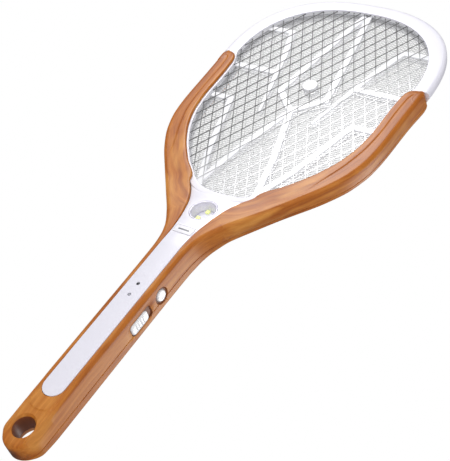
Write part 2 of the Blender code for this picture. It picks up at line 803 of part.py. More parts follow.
def zap_button():
    """Push button: it slides along -X. Its origin is on its axis."""
    button = turned("zap_button", [
        (0, 5.5), (2.6, 5.4), (3.9, 5.0), (BUTTON_RADIUS, 4.0), (BUTTON_RADIUS, 2.3), (5.9, 2.3), (5.9, 0.8),
        (0, 0.8),
    ], 28)
    button.location = Vector((9.0, CONTROL_Y, BUTTON_Z)) * MM
    button.rotation_euler = (0, math.pi / 2, 0)
    place(button, WHITE_PLASTIC)
    place(rod("tact_plunger", "X", (5.2, CONTROL_Y, BUTTON_Z), 1.7, 4.2, sides=16), DARK_PLASTIC)
    body = box("tact_switch", (1.8, CONTROL_Y - 3.4, BUTTON_Z - 3.2), (7.0, CONTROL_Y + 3.4, BUTTON_Z + 3.2))
    cut(body, place(rod("plunger_bore", "X", (3.4, CONTROL_Y, BUTTON_Z), 2.0, 6, sides=16)))
    place(body, DARK_PLASTIC)


def slide_switch():
    """Ridged knob that slides along +Z, with the lever and the switch body behind it."""
    half = KNOB_LONG / 2
    knob = box("slide_knob", (POCKET_X + GAP, CONTROL_Y - KNOB_WIDE / 2, KNOB_Z - half),
               (14.7, CONTROL_Y + KNOB_WIDE / 2, KNOB_Z + half))
    round_upright(knob, 3.2)
    round_edges(knob, 0.5, 2, 60)
    stem_low, stem_high = (10.3, CONTROL_Y - 2, KNOB_Z - 4), (POCKET_X + 1, CONTROL_Y + 2, KNOB_Z + 4)
    join(knob, place(box("knob_stem", stem_low, stem_high)))
    for k in range(4):
        z = KNOB_Z + (k - 1.5) * 2.6
        ridge = box("knob_ridge_%d" % k, (14.2, CONTROL_Y - 3.1, z - 0.5), (15.1, CONTROL_Y + 3.1, z + 0.5))
        join(knob, place(ridge))
    place(knob, WHITE_PLASTIC)
    lever = box("slide_lever", (6.2, CONTROL_Y - 0.9, KNOB_Z - 1.5), (10.0, CONTROL_Y + 0.9, KNOB_Z + 1.5))
    place(lever, DARK_PLASTIC)
    body = box("slide_switch", (1.2, CONTROL_Y - 3.4, KNOB_Z - 8), (8.8, CONTROL_Y + 3.4, KNOB_Z + 12))
    slot_low = (5.6, CONTROL_Y - 1.3, KNOB_Z - 2.1)
    slot_high = (12, CONTROL_Y + 1.3, KNOB_Z + KNOB_TRAVEL + 2.1)
    cut(body, place(box("lever_slot", slot_low, slot_high)))
    place(body, BRUSHED_STEEL)


def indicators():
    dots = (("power_indicator", POWER_DOT_Z, DARK_PLASTIC), ("charge_indicator", CHARGE_DOT_Z, GREY_LENS))
    for label, z, finish in dots:
        place(rod(label, "Y", (0, STRIP_Y, z), DOT_RADIUS, 5.6, sides=20), finish)


def name_plate():
    plate = box("name_plate", (-8.5, -0.3, -3.75), (8.5, 0.3, 3.75), 0.2)
    set_on_throat(plate, PLATE_Z)
    place(plate, PALE_PLATE)


# Inside the handle


def electronics():
    low, high = BOARD_Z
    under, over = BOARD_Y - BOARD_THICK / 2, BOARD_Y + BOARD_THICK / 2
    board = box("main_board", (-BOARD_HALF, under, low), (BOARD_HALF, over, high))
    notch_low = (BOARD_HALF - 1.6, under - 1, BUTTON_Z - BUTTON_POCKET)
    notch_high = (BOARD_HALF + 1, over + 1, BUTTON_Z + BUTTON_POCKET)
    cut(board, place(box("button_notch", notch_low, notch_high)))
    place(board, BOARD_GREEN)
    top = over + GAP
    place(box("step_up_transformer", (-9.0, top, 142), (0.8, top + 10.5, 157), 0.8), TRANSFORMER_YELLOW)
    place(box("high_voltage_capacitor", (-8.5, top, 166), (8.5, top + 8.5, 182), 1.2), CAPACITOR_BROWN)
    length = BATTERY_Z[1] - BATTERY_Z[0]
    battery = turned("battery", [
        (0, length), (2.6, length), (2.6, length - 1.0), (BATTERY_RADIUS - 0.8, length - 1.0),
        (BATTERY_RADIUS, length - 1.8), (BATTERY_RADIUS, 0.6), (BATTERY_RADIUS - 0.6, 0), (0, 0),
    ], 20)
    battery.location = Vector((0, BATTERY_Y, BATTERY_Z[0])) * MM
    place(battery, BATTERY_WRAP)
    red = [
        (3.0, BATTERY_Y, 97.0), (6.0, BATTERY_Y, 99.0), (7.2, 0.5, 106), (7.0, -1.3, 112), (7.0, -2.0, 116),
    ]
    place(wire("battery_lead_red", red, 0.6), LEAD_RED)
    black = [
        (-6.2, BATTERY_Y + 5.5, 44.8), (-8.6, BATTERY_Y + 6.0, 47), (-9.2, 7.5, 60), (-9.0, 7.0, 96),
        (-7.4, 1.0, 108), (-7, -1.8, 116),
    ]
    place(wire("battery_lead_black", black, 0.6), LEAD_BLACK)
    for label, x, finish in (("grid_lead_outer", -6.0, LEAD_BLACK), ("grid_lead_mesh", 6.0, LEAD_RED)):
        wide = x * 1.2
        path = [
            (x, -1.6, 186), (x, 1.5, 192), (wide, 4.0, 204), (wide, 4.0, 236), (x, 2.5, 246), (x, 2.0, 249),
        ]
        place(wire(label, path, 0.7), finish)
    lamp_path = [(4.3, -1.6, 187), (4.3, 1.5, 203), (2.0, 3.6, 216), (0, 3.4, 226), (0, 3.0, 231)]
    place(wire("lamp_lead", lamp_path, 0.5), LEAD_RED)


def charging_socket():
    near, far = CONTROL_Y - 1.7, CONTROL_Y + 1.7
    body = box("charging_socket", (-13.4, near, SOCKET_Z - 4), (-8.2, far, SOCKET_Z + 4), 0.4)
    wall = 0.6
    inside_low, inside_high = (-16, near + wall, SOCKET_Z - 4 + wall), (-9.2, far - wall, SOCKET_Z + 4 - wall)
    inside = box("socket_inside", inside_low, inside_high)
    cut(body, place(inside))
    place(body, BRUSHED_STEEL)


def screws():
    """Pan-head screws driven from the back; all share one mesh."""
    shared = None
    tip = -SCREW_LENGTH
    for name, (x, z, rear) in screw_spots().items():
        if shared is None:
            first = turned("screw_" + name, [
                (0, 0.0), (1.7, 0.0), (SCREW_HEAD, -0.5), (SCREW_HEAD, -1.2), (SCREW_SHANK, -1.2),
                (SCREW_SHANK, tip), (0, tip - 0.8),
            ], 12)
            shared = first.data
            screw = first
        else:
            screw = bpy.data.objects.new("screw_" + name, shared)
            for held in first.modifiers:
                copied = screw.modifiers.new(held.name, held.type)
                copied.steps = held.steps
                copied.render_steps = held.render_steps
                copied.use_merge_vertices = True
                copied.merge_threshold = held.merge_threshold
        screw.location = Vector((x, rear - 0.3, z)) * MM
        screw.rotation_euler = (-math.pi / 2, 0, 0)
        place(screw, BRUSHED_STEEL)


clear_scene()
PARTS = new_collection("electric_fly_swatter")
CUTTERS = new_collection("cutters")

WOOD_PRINT = material("wood_print", (0.56, 0.24, 0.08), 0.38)
WHITE_PLASTIC = material("white_plastic", (0.85, 0.84, 0.90), 0.35)
DARK_PLASTIC = material("dark_plastic", (0.04, 0.04, 0.045), 0.45)
PALE_PLATE = material("pale_plate", (0.80, 0.79, 0.82), 0.4)
GREY_LENS = material("grey_lens", (0.45, 0.45, 0.48), 0.3)
GRID_METAL = material("grid_metal", (0.42, 0.42, 0.42), 0.4, 0.9)
MESH_METAL = material("mesh_metal", (0.72, 0.72, 0.71), 0.45, 0.8)
CHROME = material("chrome", (0.85, 0.85, 0.86), 0.12, 1.0)
BRUSHED_STEEL = material("brushed_steel", (0.6, 0.6, 0.62), 0.35, 1.0)
CLEAR = material("clear_lens", (0.95, 0.97, 0.97), 0.08, 0.0, 0.35)
LED_YELLOW = material("led_yellow", (0.86, 0.88, 0.35), 0.3)
BOARD_GREEN = material("board_green", (0.05, 0.25, 0.11), 0.5)
TRANSFORMER_YELLOW = material("transformer_yellow", (0.75, 0.6, 0.12), 0.5)
CAPACITOR_BROWN = material("capacitor_brown", (0.35, 0.12, 0.07), 0.35)
BATTERY_WRAP = material("battery_wrap", (0.08, 0.2, 0.45), 0.4)
LEAD_RED = material("lead_red", (0.6, 0.04, 0.03), 0.5)
LEAD_BLACK = material("lead_black", (0.03, 0.03, 0.03), 0.5)

front_shell()
rear_shell()
front_frame()
rear_frame()
guard_grid("front_guard_grid", -1)
guard_grid("rear_guard_grid", 1)
rib_bracket("front_rib_bracket", -1)
rib_bracket("rear_rib_bracket", 1)
centre_spacer("front_centre_spacer", -1)
centre_spacer("rear_centre_spacer", 1)
place(loop_slab("inner_mesh", None, RIM_COVER, -MESH_THICK / 2, MESH_THICK / 2), MESH_METAL)
lamp_pieces()
zap_button()
slide_switch()
indicators()
name_plate()
electronics()
charging_socket()
screws()
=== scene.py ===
"""Electric fly swatter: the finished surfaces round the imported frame, with floor, light and camera.

Sizes are in millimetres and MM turns them into metres when a mesh is made.
+X is right seen from the front, -Y is the front, +Z runs from the tail to the head.
"""

import math

import bmesh
import bpy
import numpy as np
from mathutils import Matrix, Vector


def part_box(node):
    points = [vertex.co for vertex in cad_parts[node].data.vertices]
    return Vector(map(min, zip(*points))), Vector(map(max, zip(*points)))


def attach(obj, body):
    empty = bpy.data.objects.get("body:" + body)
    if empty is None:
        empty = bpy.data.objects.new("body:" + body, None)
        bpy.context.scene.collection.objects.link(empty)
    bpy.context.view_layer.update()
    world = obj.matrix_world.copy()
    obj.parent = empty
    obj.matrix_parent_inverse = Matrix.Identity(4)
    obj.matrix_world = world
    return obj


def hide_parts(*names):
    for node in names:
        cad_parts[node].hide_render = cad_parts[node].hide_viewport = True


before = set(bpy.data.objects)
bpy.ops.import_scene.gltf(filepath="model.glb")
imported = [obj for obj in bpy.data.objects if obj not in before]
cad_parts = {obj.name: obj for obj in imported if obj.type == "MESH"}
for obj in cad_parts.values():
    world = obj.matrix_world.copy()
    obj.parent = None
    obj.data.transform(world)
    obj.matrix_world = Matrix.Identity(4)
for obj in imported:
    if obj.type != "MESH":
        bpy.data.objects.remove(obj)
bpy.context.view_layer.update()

MM = 0.001
GAP = 0.3
WALL = 2.2

# Handle and casing
TAIL_RADIUS = 14.0
STRIP_HALF = 9.3
STRIP_START = 43.0
STRIP_THICK = 2.3
STRIP_Y = -12.4
SEAM_Y = 5.0
CORNER = 3.2
WIDEST_Y = -1.0
HANG_HOLE_Z = 17.0
HANG_HOLE_RADIUS = 8.3
PAD_HALF = 10.2
PAD_Z = 37.0
PAD_DROP = 5.5
TAIL_SIDE_Y = -11.8
TAIL_END_ROUND = 4.0
FACET_SPOT = (13.0, -12.0, 37.0)
FACET_NORMAL = (0.868, -0.482, -0.12)

# Head
ARM_START_Z = 262.0
ARM_TIP_Z = 414.2
RING_FACE_Y = 6.0
RING_SEAM_Y = 0.15
RING_LIP_Y = 4.8
RING_WIDTH = 6.0
RIM_COVER = 4.0
ARCH_Z = 416.0
ARCH_OUTER = (102.0, 96.0, 2.45)
ARCH_INNER = (88.5, 82.6, 2.35)
GRID_Y = 4.0
GRID_THICK = 1.0
CELL_LONG = 19.3
CELL_SHORT = 10.6
WIRE_RADIUS = 0.38
RIB_Y = 2.3
RIB_THICK = 1.8
WEAVE_PITCH = 2.4
WEAVE_RADIUS = 0.34
SPACER_RADIUS = 6.5
SPACER_FACE_Y = 4.7
GRID_CENTRE_Z = 396.0
BAND_WIDTH = 6.4
BAND_STEP = 0.4
BAND_FADE = (270, 45)

# Lamp in the throat
LAMP_Z = 234.3
LAMP_Y = -8.1
LAMP_TILT = math.radians(6.4)
LAMP_RADIUS = 11.2
LAMP_DEPTH = 7.5

# Controls on the right side
CONTROL_Y = 0.8
POCKET_X = 12.8
BUTTON_Z = 155.2
BUTTON_RADIUS = 4.8
BUTTON_POCKET = 6.6
KNOB_Z = 127.5
KNOB_LONG = 19.5
KNOB_WIDE = 9.5
KNOB_TRAVEL = 4.0
POWER_DOT_Z = 150.2
CHARGE_DOT_Z = 139.2
DOT_RADIUS = 1.2
PLATE_Z = 209.0
SOCKET_Z = 72.0
SCREW_HEAD = 2.3
SCREW_SHANK = 1.2

HALF_WIDTHS = [
    (14, 14), (60, 14), (150, 14), (175, 14.2), (188, 14.5), (198, 15.8), (208, 19), (223, 28.3),
    (243, 44.2), (266, 62.5), (288, 79), (308, 90), (328, 95.9), (348, 97.9), (380, 98.8),
    (395, 99.3), (405, 99.9), (409.5, 100.1), (412.5, 99.5), (414.2, 98.2),
]
ARM_INNER = [
    (262, 32), (281, 48.7), (301, 64.3), (321, 75), (341, 80.7), (361, 82.6), (381, 82.8),
    (401, 83.9), (406, 85), (410.5, 87.4), (413, 91), (414.2, 94.7),
]
OUTER_DROP = [(262, 15), (281, 15), (301, 11), (321, 6), (341, 2), (361, 0), (401, 0), (414.2, 0.2)]
FRONT_LINE = [(36, -12), (190, -12), (225, -10.6), (262, -8.5), (405, -8.5), (410, -8.2), (414.2, -7)]
TAIL_LINE = [(0, -8.8), (17, -10.2), (33, -11.3), (37, -11.5)]
REAR_LINE = [(0, 7), (14, 11), (30, 12.4), (190, 12.4), (262, 9), (405, 9), (414.2, 7.4)]
STRIP_LINE = [(43, -12.4), (190, -12.4), (205, -11.4), (234.3, -8.1), (250, -6.3), (258, -5.2)]
STRIP_WIDTHS = [
    (52, 9.3), (190, 9.3), (205, 9.9), (220, 12.2), (230, 14.8), (241, 18.6), (251, 24.4), (262, 31.8),
]
TAPER_LINE = [(190, 0.1), (215, 1.5), (235, 3), (262, 3), (285, 1.8), (310, 0.8), (380, 0.3), (405, -0.8)]
REAR_ROUND_LINE = [(190, 2.2), (262, 2)]
HOLLOW_FRONT_LINE = [(38, -7.6), (215, -7.4), (245, -6.3)]
HOLLOW_REAR_LINE = [(38, 10.2), (190, 10.2), (250, 6.3)]
BAND_LINE = [(262, 30), (272, 20), (285, 12.5), (300, 9), (320, 7), (345, BAND_WIDTH)]
OPENING_FOOT = [(0, 256.5), (9, 256.9), (18, 258.4), (25, 261.2), (31.5, 266.2)]
# Path place, inner x, inner z and outer z of the casing between the handle and the arms
THROAT_KEYS = [
    (182, 0, 182, 182), (192, 0, 192, 191), (202, 0, 202, 199), (213, 0, 212, 206), (226, 0, 223, 212),
    (239, 0, 234, 218), (249, 0, 243, 221.5), (256, 0, 249, 224), (264, 8, 250.5, 229),
    (272, 16, 252.5, 234), (281, 24, 256.5, 240), (290, 32, 262, 247),
]
THROAT_START, THROAT_END = THROAT_KEYS[0][0], THROAT_KEYS[-1][0]


def smooth(points):
    """A smooth function through (place, value) points that doesn't overshoot them."""
    place = np.array([p[0] for p in points], float)
    value = np.array([p[1] for p in points], float)
    slope = np.diff(value) / np.diff(place)
    tangent = np.zeros(len(place))
    for i in range(1, len(place) - 1):
        before, after = slope[i - 1], slope[i]
        if before * after > 0:
            tangent[i] = 2 * before * after / (before + after)

    def at(x):
        x = min(max(x, place[0]), place[-1])
        i = min(max(int(np.searchsorted(place, x, "right")) - 1, 0), len(place) - 2)
        h = place[i + 1] - place[i]
        t = (x - place[i]) / h
        rise = t * t * (3 - 2 * t)
        ends = t * (1 - t) ** 2 * h * tangent[i] + t * t * (t - 1) * h * tangent[i + 1]
        return float(value[i] + rise * (value[i + 1] - value[i]) + ends)

    return at


def ease(t):
    """0 to 1 as t goes from 0 to 1, with level ends."""
    t = np.clip(t, 0.0, 1.0)
    return t * t * (3 - 2 * t)


half_width_above_tail = smooth(HALF_WIDTHS)
arm_inner = smooth(ARM_INNER)
outer_drop = smooth(OUTER_DROP)
front_line = smooth(FRONT_LINE)
tail_line = smooth(TAIL_LINE)
rear_line = smooth(REAR_LINE)
strip_line = smooth(STRIP_LINE)
strip_width_above_end = smooth(STRIP_WIDTHS)
taper_line = smooth(TAPER_LINE)
rear_round_line = smooth(REAR_ROUND_LINE)
hollow_front_line = smooth(HOLLOW_FRONT_LINE)
hollow_rear_line = smooth(HOLLOW_REAR_LINE)
band_line = smooth(BAND_LINE)
opening_foot = smooth(OPENING_FOOT)
throat_inner_x = smooth([(k[0], k[1]) for k in THROAT_KEYS])
throat_inner_z = smooth([(k[0], k[2]) for k in THROAT_KEYS])
throat_outer_z = smooth([(k[0], k[3]) for k in THROAT_KEYS])


def half_width(z):
    if z >= TAIL_RADIUS:
        return half_width_above_tail(z)
    return math.sqrt(max(TAIL_RADIUS**2 - (TAIL_RADIUS - z) ** 2, 0.0))


def strip_width(z):
    end = STRIP_START + STRIP_HALF
    if z >= end:
        return strip_width_above_end(z)
    return math.sqrt(max(STRIP_HALF**2 - (end - z) ** 2, 0.0))


# Mesh helpers


def linked(name, data):
    """A new object in the scene round a mesh, light or camera."""
    obj = bpy.data.objects.new(name, data)
    bpy.context.scene.collection.objects.link(obj)
    return obj


def made(name, bm):
    """A new object that holds the built mesh."""
    mesh = bpy.data.meshes.new(name)
    bm.to_mesh(mesh)
    bm.free()
    return linked(name, mesh)


def quarter(steps):
    """(1 - cos, sin) over a quarter turn, for rounded edges."""
    turns = [math.pi / 2 * k / steps for k in range(steps + 1)]
    return [(1 - math.cos(turn), math.sin(turn)) for turn in turns]


def clean(bm, merge=0.002):
    bmesh.ops.remove_doubles(bm, verts=bm.verts, dist=merge * MM)
    bmesh.ops.dissolve_degenerate(bm, edges=bm.edges, dist=merge * MM)
    bmesh.ops.recalc_face_normals(bm, faces=bm.faces)


def loft(name, sections, closed=False, mirrored=False):
    """A solid through sections of equal point count. Mirrored ones are the +X half, open at X = 0."""
    bm = bmesh.new()
    rows = [[bm.verts.new(Vector(p) * MM) for p in section] for section in sections]
    count = len(rows[0])
    last = len(rows) if closed else len(rows) - 1
    for i in range(last):
        here, after = rows[i], rows[(i + 1) % len(rows)]
        for k in range(count):
            n = (k + 1) % count
            bm.faces.new((here[k], here[n], after[n], after[k]))
    if not closed:
        bm.faces.new(rows[0])
        bm.faces.new(rows[-1])
    clean(bm)
    bmesh.ops.triangulate(bm, faces=bm.faces)
    if mirrored:
        on_plane = [f for f in bm.faces if all(abs(v.co.x) < 1e-8 for v in f.verts)]
        bmesh.ops.delete(bm, geom=on_plane, context="FACES")
        half = bm.verts[:] + bm.edges[:] + bm.faces[:]
        copied = bmesh.ops.duplicate(bm, geom=half)["geom"]
        other = [v for v in copied if isinstance(v, bmesh.types.BMVert)]
        for vert in other:
            vert.co.x = -vert.co.x
        bmesh.ops.reverse_faces(bm, faces=[f for f in copied if isinstance(f, bmesh.types.BMFace)])
        bmesh.ops.remove_doubles(bm, verts=[v for v in bm.verts if abs(v.co.x) < 1e-8], dist=0.001 * MM)
    return made(name, bm)


def rounded_box(name, low, high, rounding=0.4, segments=3):
    low, high = Vector(low), Vector(high)
    bm = bmesh.new()
    bmesh.ops.create_cube(bm, size=1.0)
    size = high - low
    middle = (high + low) / 2
    for vert in bm.verts:
        vert.co = Vector((vert.co.x * size.x, vert.co.y * size.y, vert.co.z * size.z)) * MM
    if rounding:
        sides = {"segments": segments, "profile": 0.5, "affect": "EDGES"}
        bmesh.ops.bevel(bm, geom=bm.edges[:], offset=rounding * MM, **sides)
    obj = made(name, bm)
    obj.location = middle * MM
    return obj


AXIS_TURN = {"X": Matrix.Rotation(math.pi / 2, 4, "Y"), "Y": Matrix.Rotation(math.pi / 2, 4, "X")}


def rod(name, axis, start, radius, length, sides=48):
    """A cylinder from start along +X or +Y."""
    bm = bmesh.new()
    wide = {"radius1": radius * MM, "radius2": radius * MM}
    bmesh.ops.create_cone(bm, cap_ends=True, segments=sides, depth=length * MM, **wide)
    bmesh.ops.transform(bm, matrix=AXIS_TURN[axis], verts=bm.verts)
    obj = made(name, bm)
    along = Vector((1, 0, 0)) if axis == "X" else Vector((0, 1, 0))
    obj.location = (Vector(start) + along * length / 2) * MM
    return obj


def turned(name, profile, steps=64):
    """A solid of revolution about its own Z through (radius, height) points."""
    bm = bmesh.new()
    verts = [bm.verts.new((r * MM, 0, h * MM)) for r, h in profile]
    edges = [bm.edges.new(pair) for pair in zip(verts, verts[1:])]
    bmesh.ops.spin(
        bm, geom=verts + edges, axis=(0, 0, 1), cent=(0, 0, 0), steps=steps, angle=math.tau, use_merge=True
    )
    clean(bm)
    return made(name, bm)


def rounded_profile(points, radius, steps=4):
    """The (radius, height) points with each corner between them rounded."""
    out = [points[0]]
    for before, here, after in zip(points, points[1:], points[2:]):
        a, b, c = Vector(before), Vector(here), Vector(after)
        reach = min(radius, (a - b).length * 0.45, (c - b).length * 0.45)
        start, end = b + (a - b).normalized() * reach, b + (c - b).normalized() * reach
        for k in range(steps + 1):
            t = k / steps
            out.append(tuple(start * (1 - t) ** 2 + b * 2 * t * (1 - t) + end * t * t))
    out.append(points[-1])
    return out


def applied(obj):
    """The object with its modifiers and its place worked into the mesh."""
    graph = bpy.context.evaluated_depsgraph_get()
    mesh = bpy.data.meshes.new_from_object(obj.evaluated_get(graph))
    mesh.transform(obj.matrix_world)
    obj.modifiers.clear()
    obj.data = mesh
    obj.parent = None
    obj.matrix_world = Matrix.Identity(4)
    return obj


CUTTERS = []
SHARP_FROM = 32.0


def cut(obj, cutter, operation="DIFFERENCE"):
    modifier = obj.modifiers.new(cutter.name, "BOOLEAN")
    modifier.operation = operation
    modifier.solver = "EXACT"
    modifier.object = cutter
    CUTTERS.append(cutter)
    return obj




def bodies_of(name, parts):
    """Closed shapes gathered in one object."""
    bm = bmesh.new()
    for part in parts:
        part.data.transform(part.matrix_world)
        bm.from_mesh(part.data)
        bpy.data.objects.remove(part)
    return made(name, bm)


def show(obj, finish, body, node):
    """Applies the shape, gives it its finish, and lets it ride in place of the CAD node."""
    applied(obj)
    obj.data.materials.clear()
    obj.data.materials.append(finish)
    obj.data.shade_smooth()
    obj.data.set_sharp_from_angle(angle=math.radians(SHARP_FROM))
    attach(obj, body)
    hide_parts(node)
    return obj


# Casing sections: d runs from an arm's inner edge, or the handle's middle, to the outer edge


def station(q):
    """Inner and outer point in the X-Z plane at place q on the path from the tail to an arm's tip."""
    if q <= THROAT_START:
        return Vector((0, q)), Vector((half_width(q), q))
    if q < THROAT_END:
        low = throat_outer_z(q)
        return Vector((throat_inner_x(q), throat_inner_z(q))), Vector((half_width(low), low))
    z = q - THROAT_END + ARM_START_Z
    low = z - outer_drop(z)
    return Vector((arm_inner(z), z)), Vector((half_width(low), low))


TAIL_TURNS = (0.5, 3, 7, 12, 18, 25, 33, 41, 49, 57, 65, 73, 81, 90)


def path_places():
    """Places of the sections, closer together where the shape turns."""
    places = [TAIL_RADIUS * (1 - math.cos(math.radians(a))) for a in TAIL_TURNS]
    places += list(np.arange(15.5, 30, 1.5)) + list(np.arange(30.5, 42.5, 0.5))
    places += [STRIP_START - GAP - 0.02, STRIP_START - GAP + 0.02]
    end = STRIP_START + STRIP_HALF
    places += [end - (STRIP_HALF + GAP) * math.cos(math.radians(a)) for a in range(6, 91, 6)]
    places += list(np.arange(58, THROAT_START, 6)) + list(np.arange(THROAT_START, THROAT_END, 2.5))
    tip = ARM_TIP_Z - ARM_START_Z + THROAT_END
    places += list(np.arange(THROAT_END, tip - 22, 3)) + list(np.arange(tip - 22, tip - 3, 0.7))
    places += [tip - before for before in (2.6, 2.0, 1.4, 0.9, 0.5, 0.2, 0)]
    return sorted(places)


def place_on(pair, d, y):
    inner, outer = pair
    spot = inner + (outer - inner).normalized() * d
    return (0.0 if abs(inner.x) < 1e-9 and abs(d) < 1e-9 else spot.x, y, spot.y)


def recess_edge(pair, side_gap):
    """How far from the inner edge a section meets the side of the strip or the throat plate."""
    inner, outer = pair
    along = (outer - inner).normalized()
    end = STRIP_START + STRIP_HALF

    def outside(d):
        spot = inner + along * d
        if spot.y < STRIP_START - side_gap:
            return True
        if spot.y < end:
            return spot.x**2 + (end - spot.y) ** 2 > (STRIP_HALF + side_gap) ** 2
        return spot.x > strip_width(spot.y) + side_gap

    if outside(0.001):
        return 0.0
    low, high = 0.0, (outer - inner).length
    for _ in range(30):
        middle = (low + high) / 2
        if outside(middle):
            high = middle
        else:
            low = middle
    return low


def tip_outline():
    """The arm's inner edge and rounded tip as a polyline."""
    zs = list(np.arange(ARM_START_Z, 400, 3)) + list(np.arange(400, ARM_TIP_Z, 0.6)) + [ARM_TIP_Z]
    points = [(arm_inner(z), z) for z in zs]
    points += [(half_width_above_tail(z), z) for z in np.arange(ARM_TIP_Z, 404, -0.6)]
    return np.array(points)


TIP_OUTLINE = tip_outline()


def to_outline(x, z):
    """Distance from a point to the arm's inner edge and tip."""
    start, end = TIP_OUTLINE[:-1], TIP_OUTLINE[1:]
    along = end - start
    spot = np.array((x, z))
    t = np.clip(((spot - start) * along).sum(1) / (along**2).sum(1), 0, 1)
    return float(np.sqrt(((start + along * t[:, None] - spot) ** 2).sum(1)).min())


def band_edge(pair, first):
    """Distance along a section at which the raised band beside the opening ends."""
    inner, outer = pair
    along = (outer - inner).normalized()
    reach = (outer - inner).length
    for d in np.arange(first, reach, 0.15):
        spot = inner + along * d
        if to_outline(spot.x, spot.y) > band_line(spot.y):
            return float(d)
    return reach * 0.9


def face_y(x, z):
    """Depth of the wood's front face, with the tail's pad and the arms' band."""
    x = abs(x)
    y = front_line(z)
    if z < PAD_Z + 3:
        edge = PAD_Z - PAD_DROP * math.sqrt(1 - min(x / PAD_HALF, 1.0) ** 2)
        spread = 0.9 + 13 * float(ease((x - 7) / 4))
        rise = float(ease((z - edge) / spread + 0.5))
        rim = float(ease((x - 8.5) / 3.5))
        low = tail_line(z) * (1 - rim) + TAIL_SIDE_Y * rim
        y = low * (1 - rise) + front_line(PAD_Z) * rise
        y += TAIL_END_ROUND * (1 - math.sqrt(1 - max(1 - z / TAIL_END_ROUND, 0.0) ** 2))
    if STRIP_START - 9 < z < 62:
        groove = math.exp(-(((x - PAD_HALF - 0.4) / 0.35) ** 2))
        y += 0.35 * groove * float(ease((62 - z) / 12)) * float(ease((z - 34) / 2))
    if z > ARM_START_Z - 16 and x > 30:
        reach = to_outline(x, z) - band_line(z)
        fade = float(ease((z - BAND_FADE[0]) / BAND_FADE[1]))
        y += BAND_STEP * float(ease(reach / 1.6 + 0.5)) * fade
        y += 0.1 * math.exp(-((reach / 0.4) ** 2)) * fade
    return y


CORNER_STEPS = 9
BAND_OFFSETS = (-1.4, -0.8, -0.45, -0.2, 0.0, 0.2, 0.45, 0.8, 1.4)


def front_section(q):
    """The front shell's +X half at place q: recess, lip, face, corner, side and seam."""
    pair = station(q)
    inner, outer = pair
    length = (outer - inner).length
    z = (inner.y + outer.y) / 2
    edge = recess_edge(pair, GAP) if STRIP_START - GAP - 0.01 < q < THROAT_END + 4 else 0.0
    arm = q > THROAT_END
    free = q > THROAT_END - 6
    lip = min(1.3 if arm else 0.45, 0.3 * length)
    corner_x, corner_y = min(CORNER, 0.4 * length), min(CORNER, 0.5 * length)

    def face_at(d):
        spot = inner + (outer - inner).normalized() * d
        return face_y(spot.x, spot.y)

    if edge > 0:
        floor = strip_line(z) + STRIP_THICK + GAP
        points = [(0.0, floor), (edge, floor), (edge, (floor + front_line(z)) / 2)]
    elif free:
        points = [(0.0, SEAM_Y - 1.5), (0.0, 0.0), (0.0, -3.0)]
    else:
        points = [(0.0, face_y(0, z))] * 3
    start, stop = 0.0, length - corner_x
    if edge > 0 or free:
        start = edge + lip
        points += [(edge + lip * away, face_at(start) + lip * (1 - rise)) for away, rise in quarter(4)]
    else:
        points += [(0.0, face_at(0.0))] * 5
    line = PAD_HALF + 0.4 if z < 60 else start + (stop - start) * 0.55
    if arm:
        line = band_edge(pair, 1.5)
    line = min(max(line, start + 1.6), stop - 1.6) if stop - start > 3.4 else (start + stop) / 2
    spread = min(1.0, (stop - start) / 3.4)
    low, high = line - 1.5 * spread, line + 1.5 * spread
    marks = [start + (low - start) * k / 5 for k in range(1, 5)]
    marks += [line + o * spread for o in BAND_OFFSETS]
    marks += [high + (stop - high) * k / 5 for k in range(1, 5)]
    points += [(d, face_at(d)) for d in marks]
    corner_start = face_at(stop)
    for away, rise in quarter(CORNER_STEPS - 1):
        points.append((stop + corner_x * rise, corner_start + corner_y * away))
    side = max(WIDEST_Y, points[-1][1] + 0.2)
    seam = SEAM_Y - GAP / 2
    round_rear = min(rear_round_line(z), 0.35 * length)
    lean = min(taper_line(z), 0.3 * length) / (max(rear_line(z) - round_rear, seam) - WIDEST_Y)
    points.append((length - max(side - WIDEST_Y, 0) * lean, min(side, seam - 0.4)))
    points.append((length - lean * (seam - 0.35 - WIDEST_Y), seam - 0.35))
    points.append((length - lean * (seam - WIDEST_Y) - 0.3, seam))
    points.append((0.0, seam))
    return [place_on(pair, d, y) for d, y in points]


def rear_section(q):
    """The rear shell's +X half at place q: seam, side, rounded rear edge and back."""
    pair = station(q)
    inner, outer = pair
    length = (outer - inner).length
    z = (inner.y + outer.y) / 2
    back = rear_line(z) - 2.0 * (1 - math.sqrt(1 - max(1 - z / 4.0, 0.0) ** 2))
    taper = min(taper_line(z), 0.3 * length)
    round_rear = min(rear_round_line(z), 0.35 * length)
    seam = SEAM_Y + GAP / 2
    low = max(back - round_rear, seam + 0.4)
    lean = taper / (low - WIDEST_Y)
    lip = min(1.0, 0.3 * length) if q > THROAT_END - 6 else 0.0
    points = [(0.0, seam), (length - lean * (seam - WIDEST_Y) - 0.3, seam)]
    points.append((length - lean * (seam + 0.3 - WIDEST_Y), seam + 0.3))
    for away, rise in quarter(CORNER_STEPS - 1):
        points.append((length - taper - round_rear * away, low + (back - low) * rise))
    far = points[-1][0]
    points += [(lip + (far - lip) * k / 6, back) for k in (5, 4, 3, 2, 1)]
    points += [(lip * (1 - rise), back - lip * away) for away, rise in quarter(4)]
    return [place_on(pair, d, y) for d, y in points]


def casing_solid(name, section):
    return loft(name, [section(q) for q in path_places()], mirrored=True)


HOLLOW_PLACES = (38, 44, 100, 150, 170, 182, 192, 202, 213, 226, 239, 249, 256, 264, 272, 281)
HOLLOW_ARM_ZS = (262, 271, 281, 291, 301, 311, 321, 331, 341, 355, 381, 396, 401)
RING_PASSAGE = ((84.2, 402.5, 5.6), (86.0, 408, 5.8), (88.8, 418, 6.2))


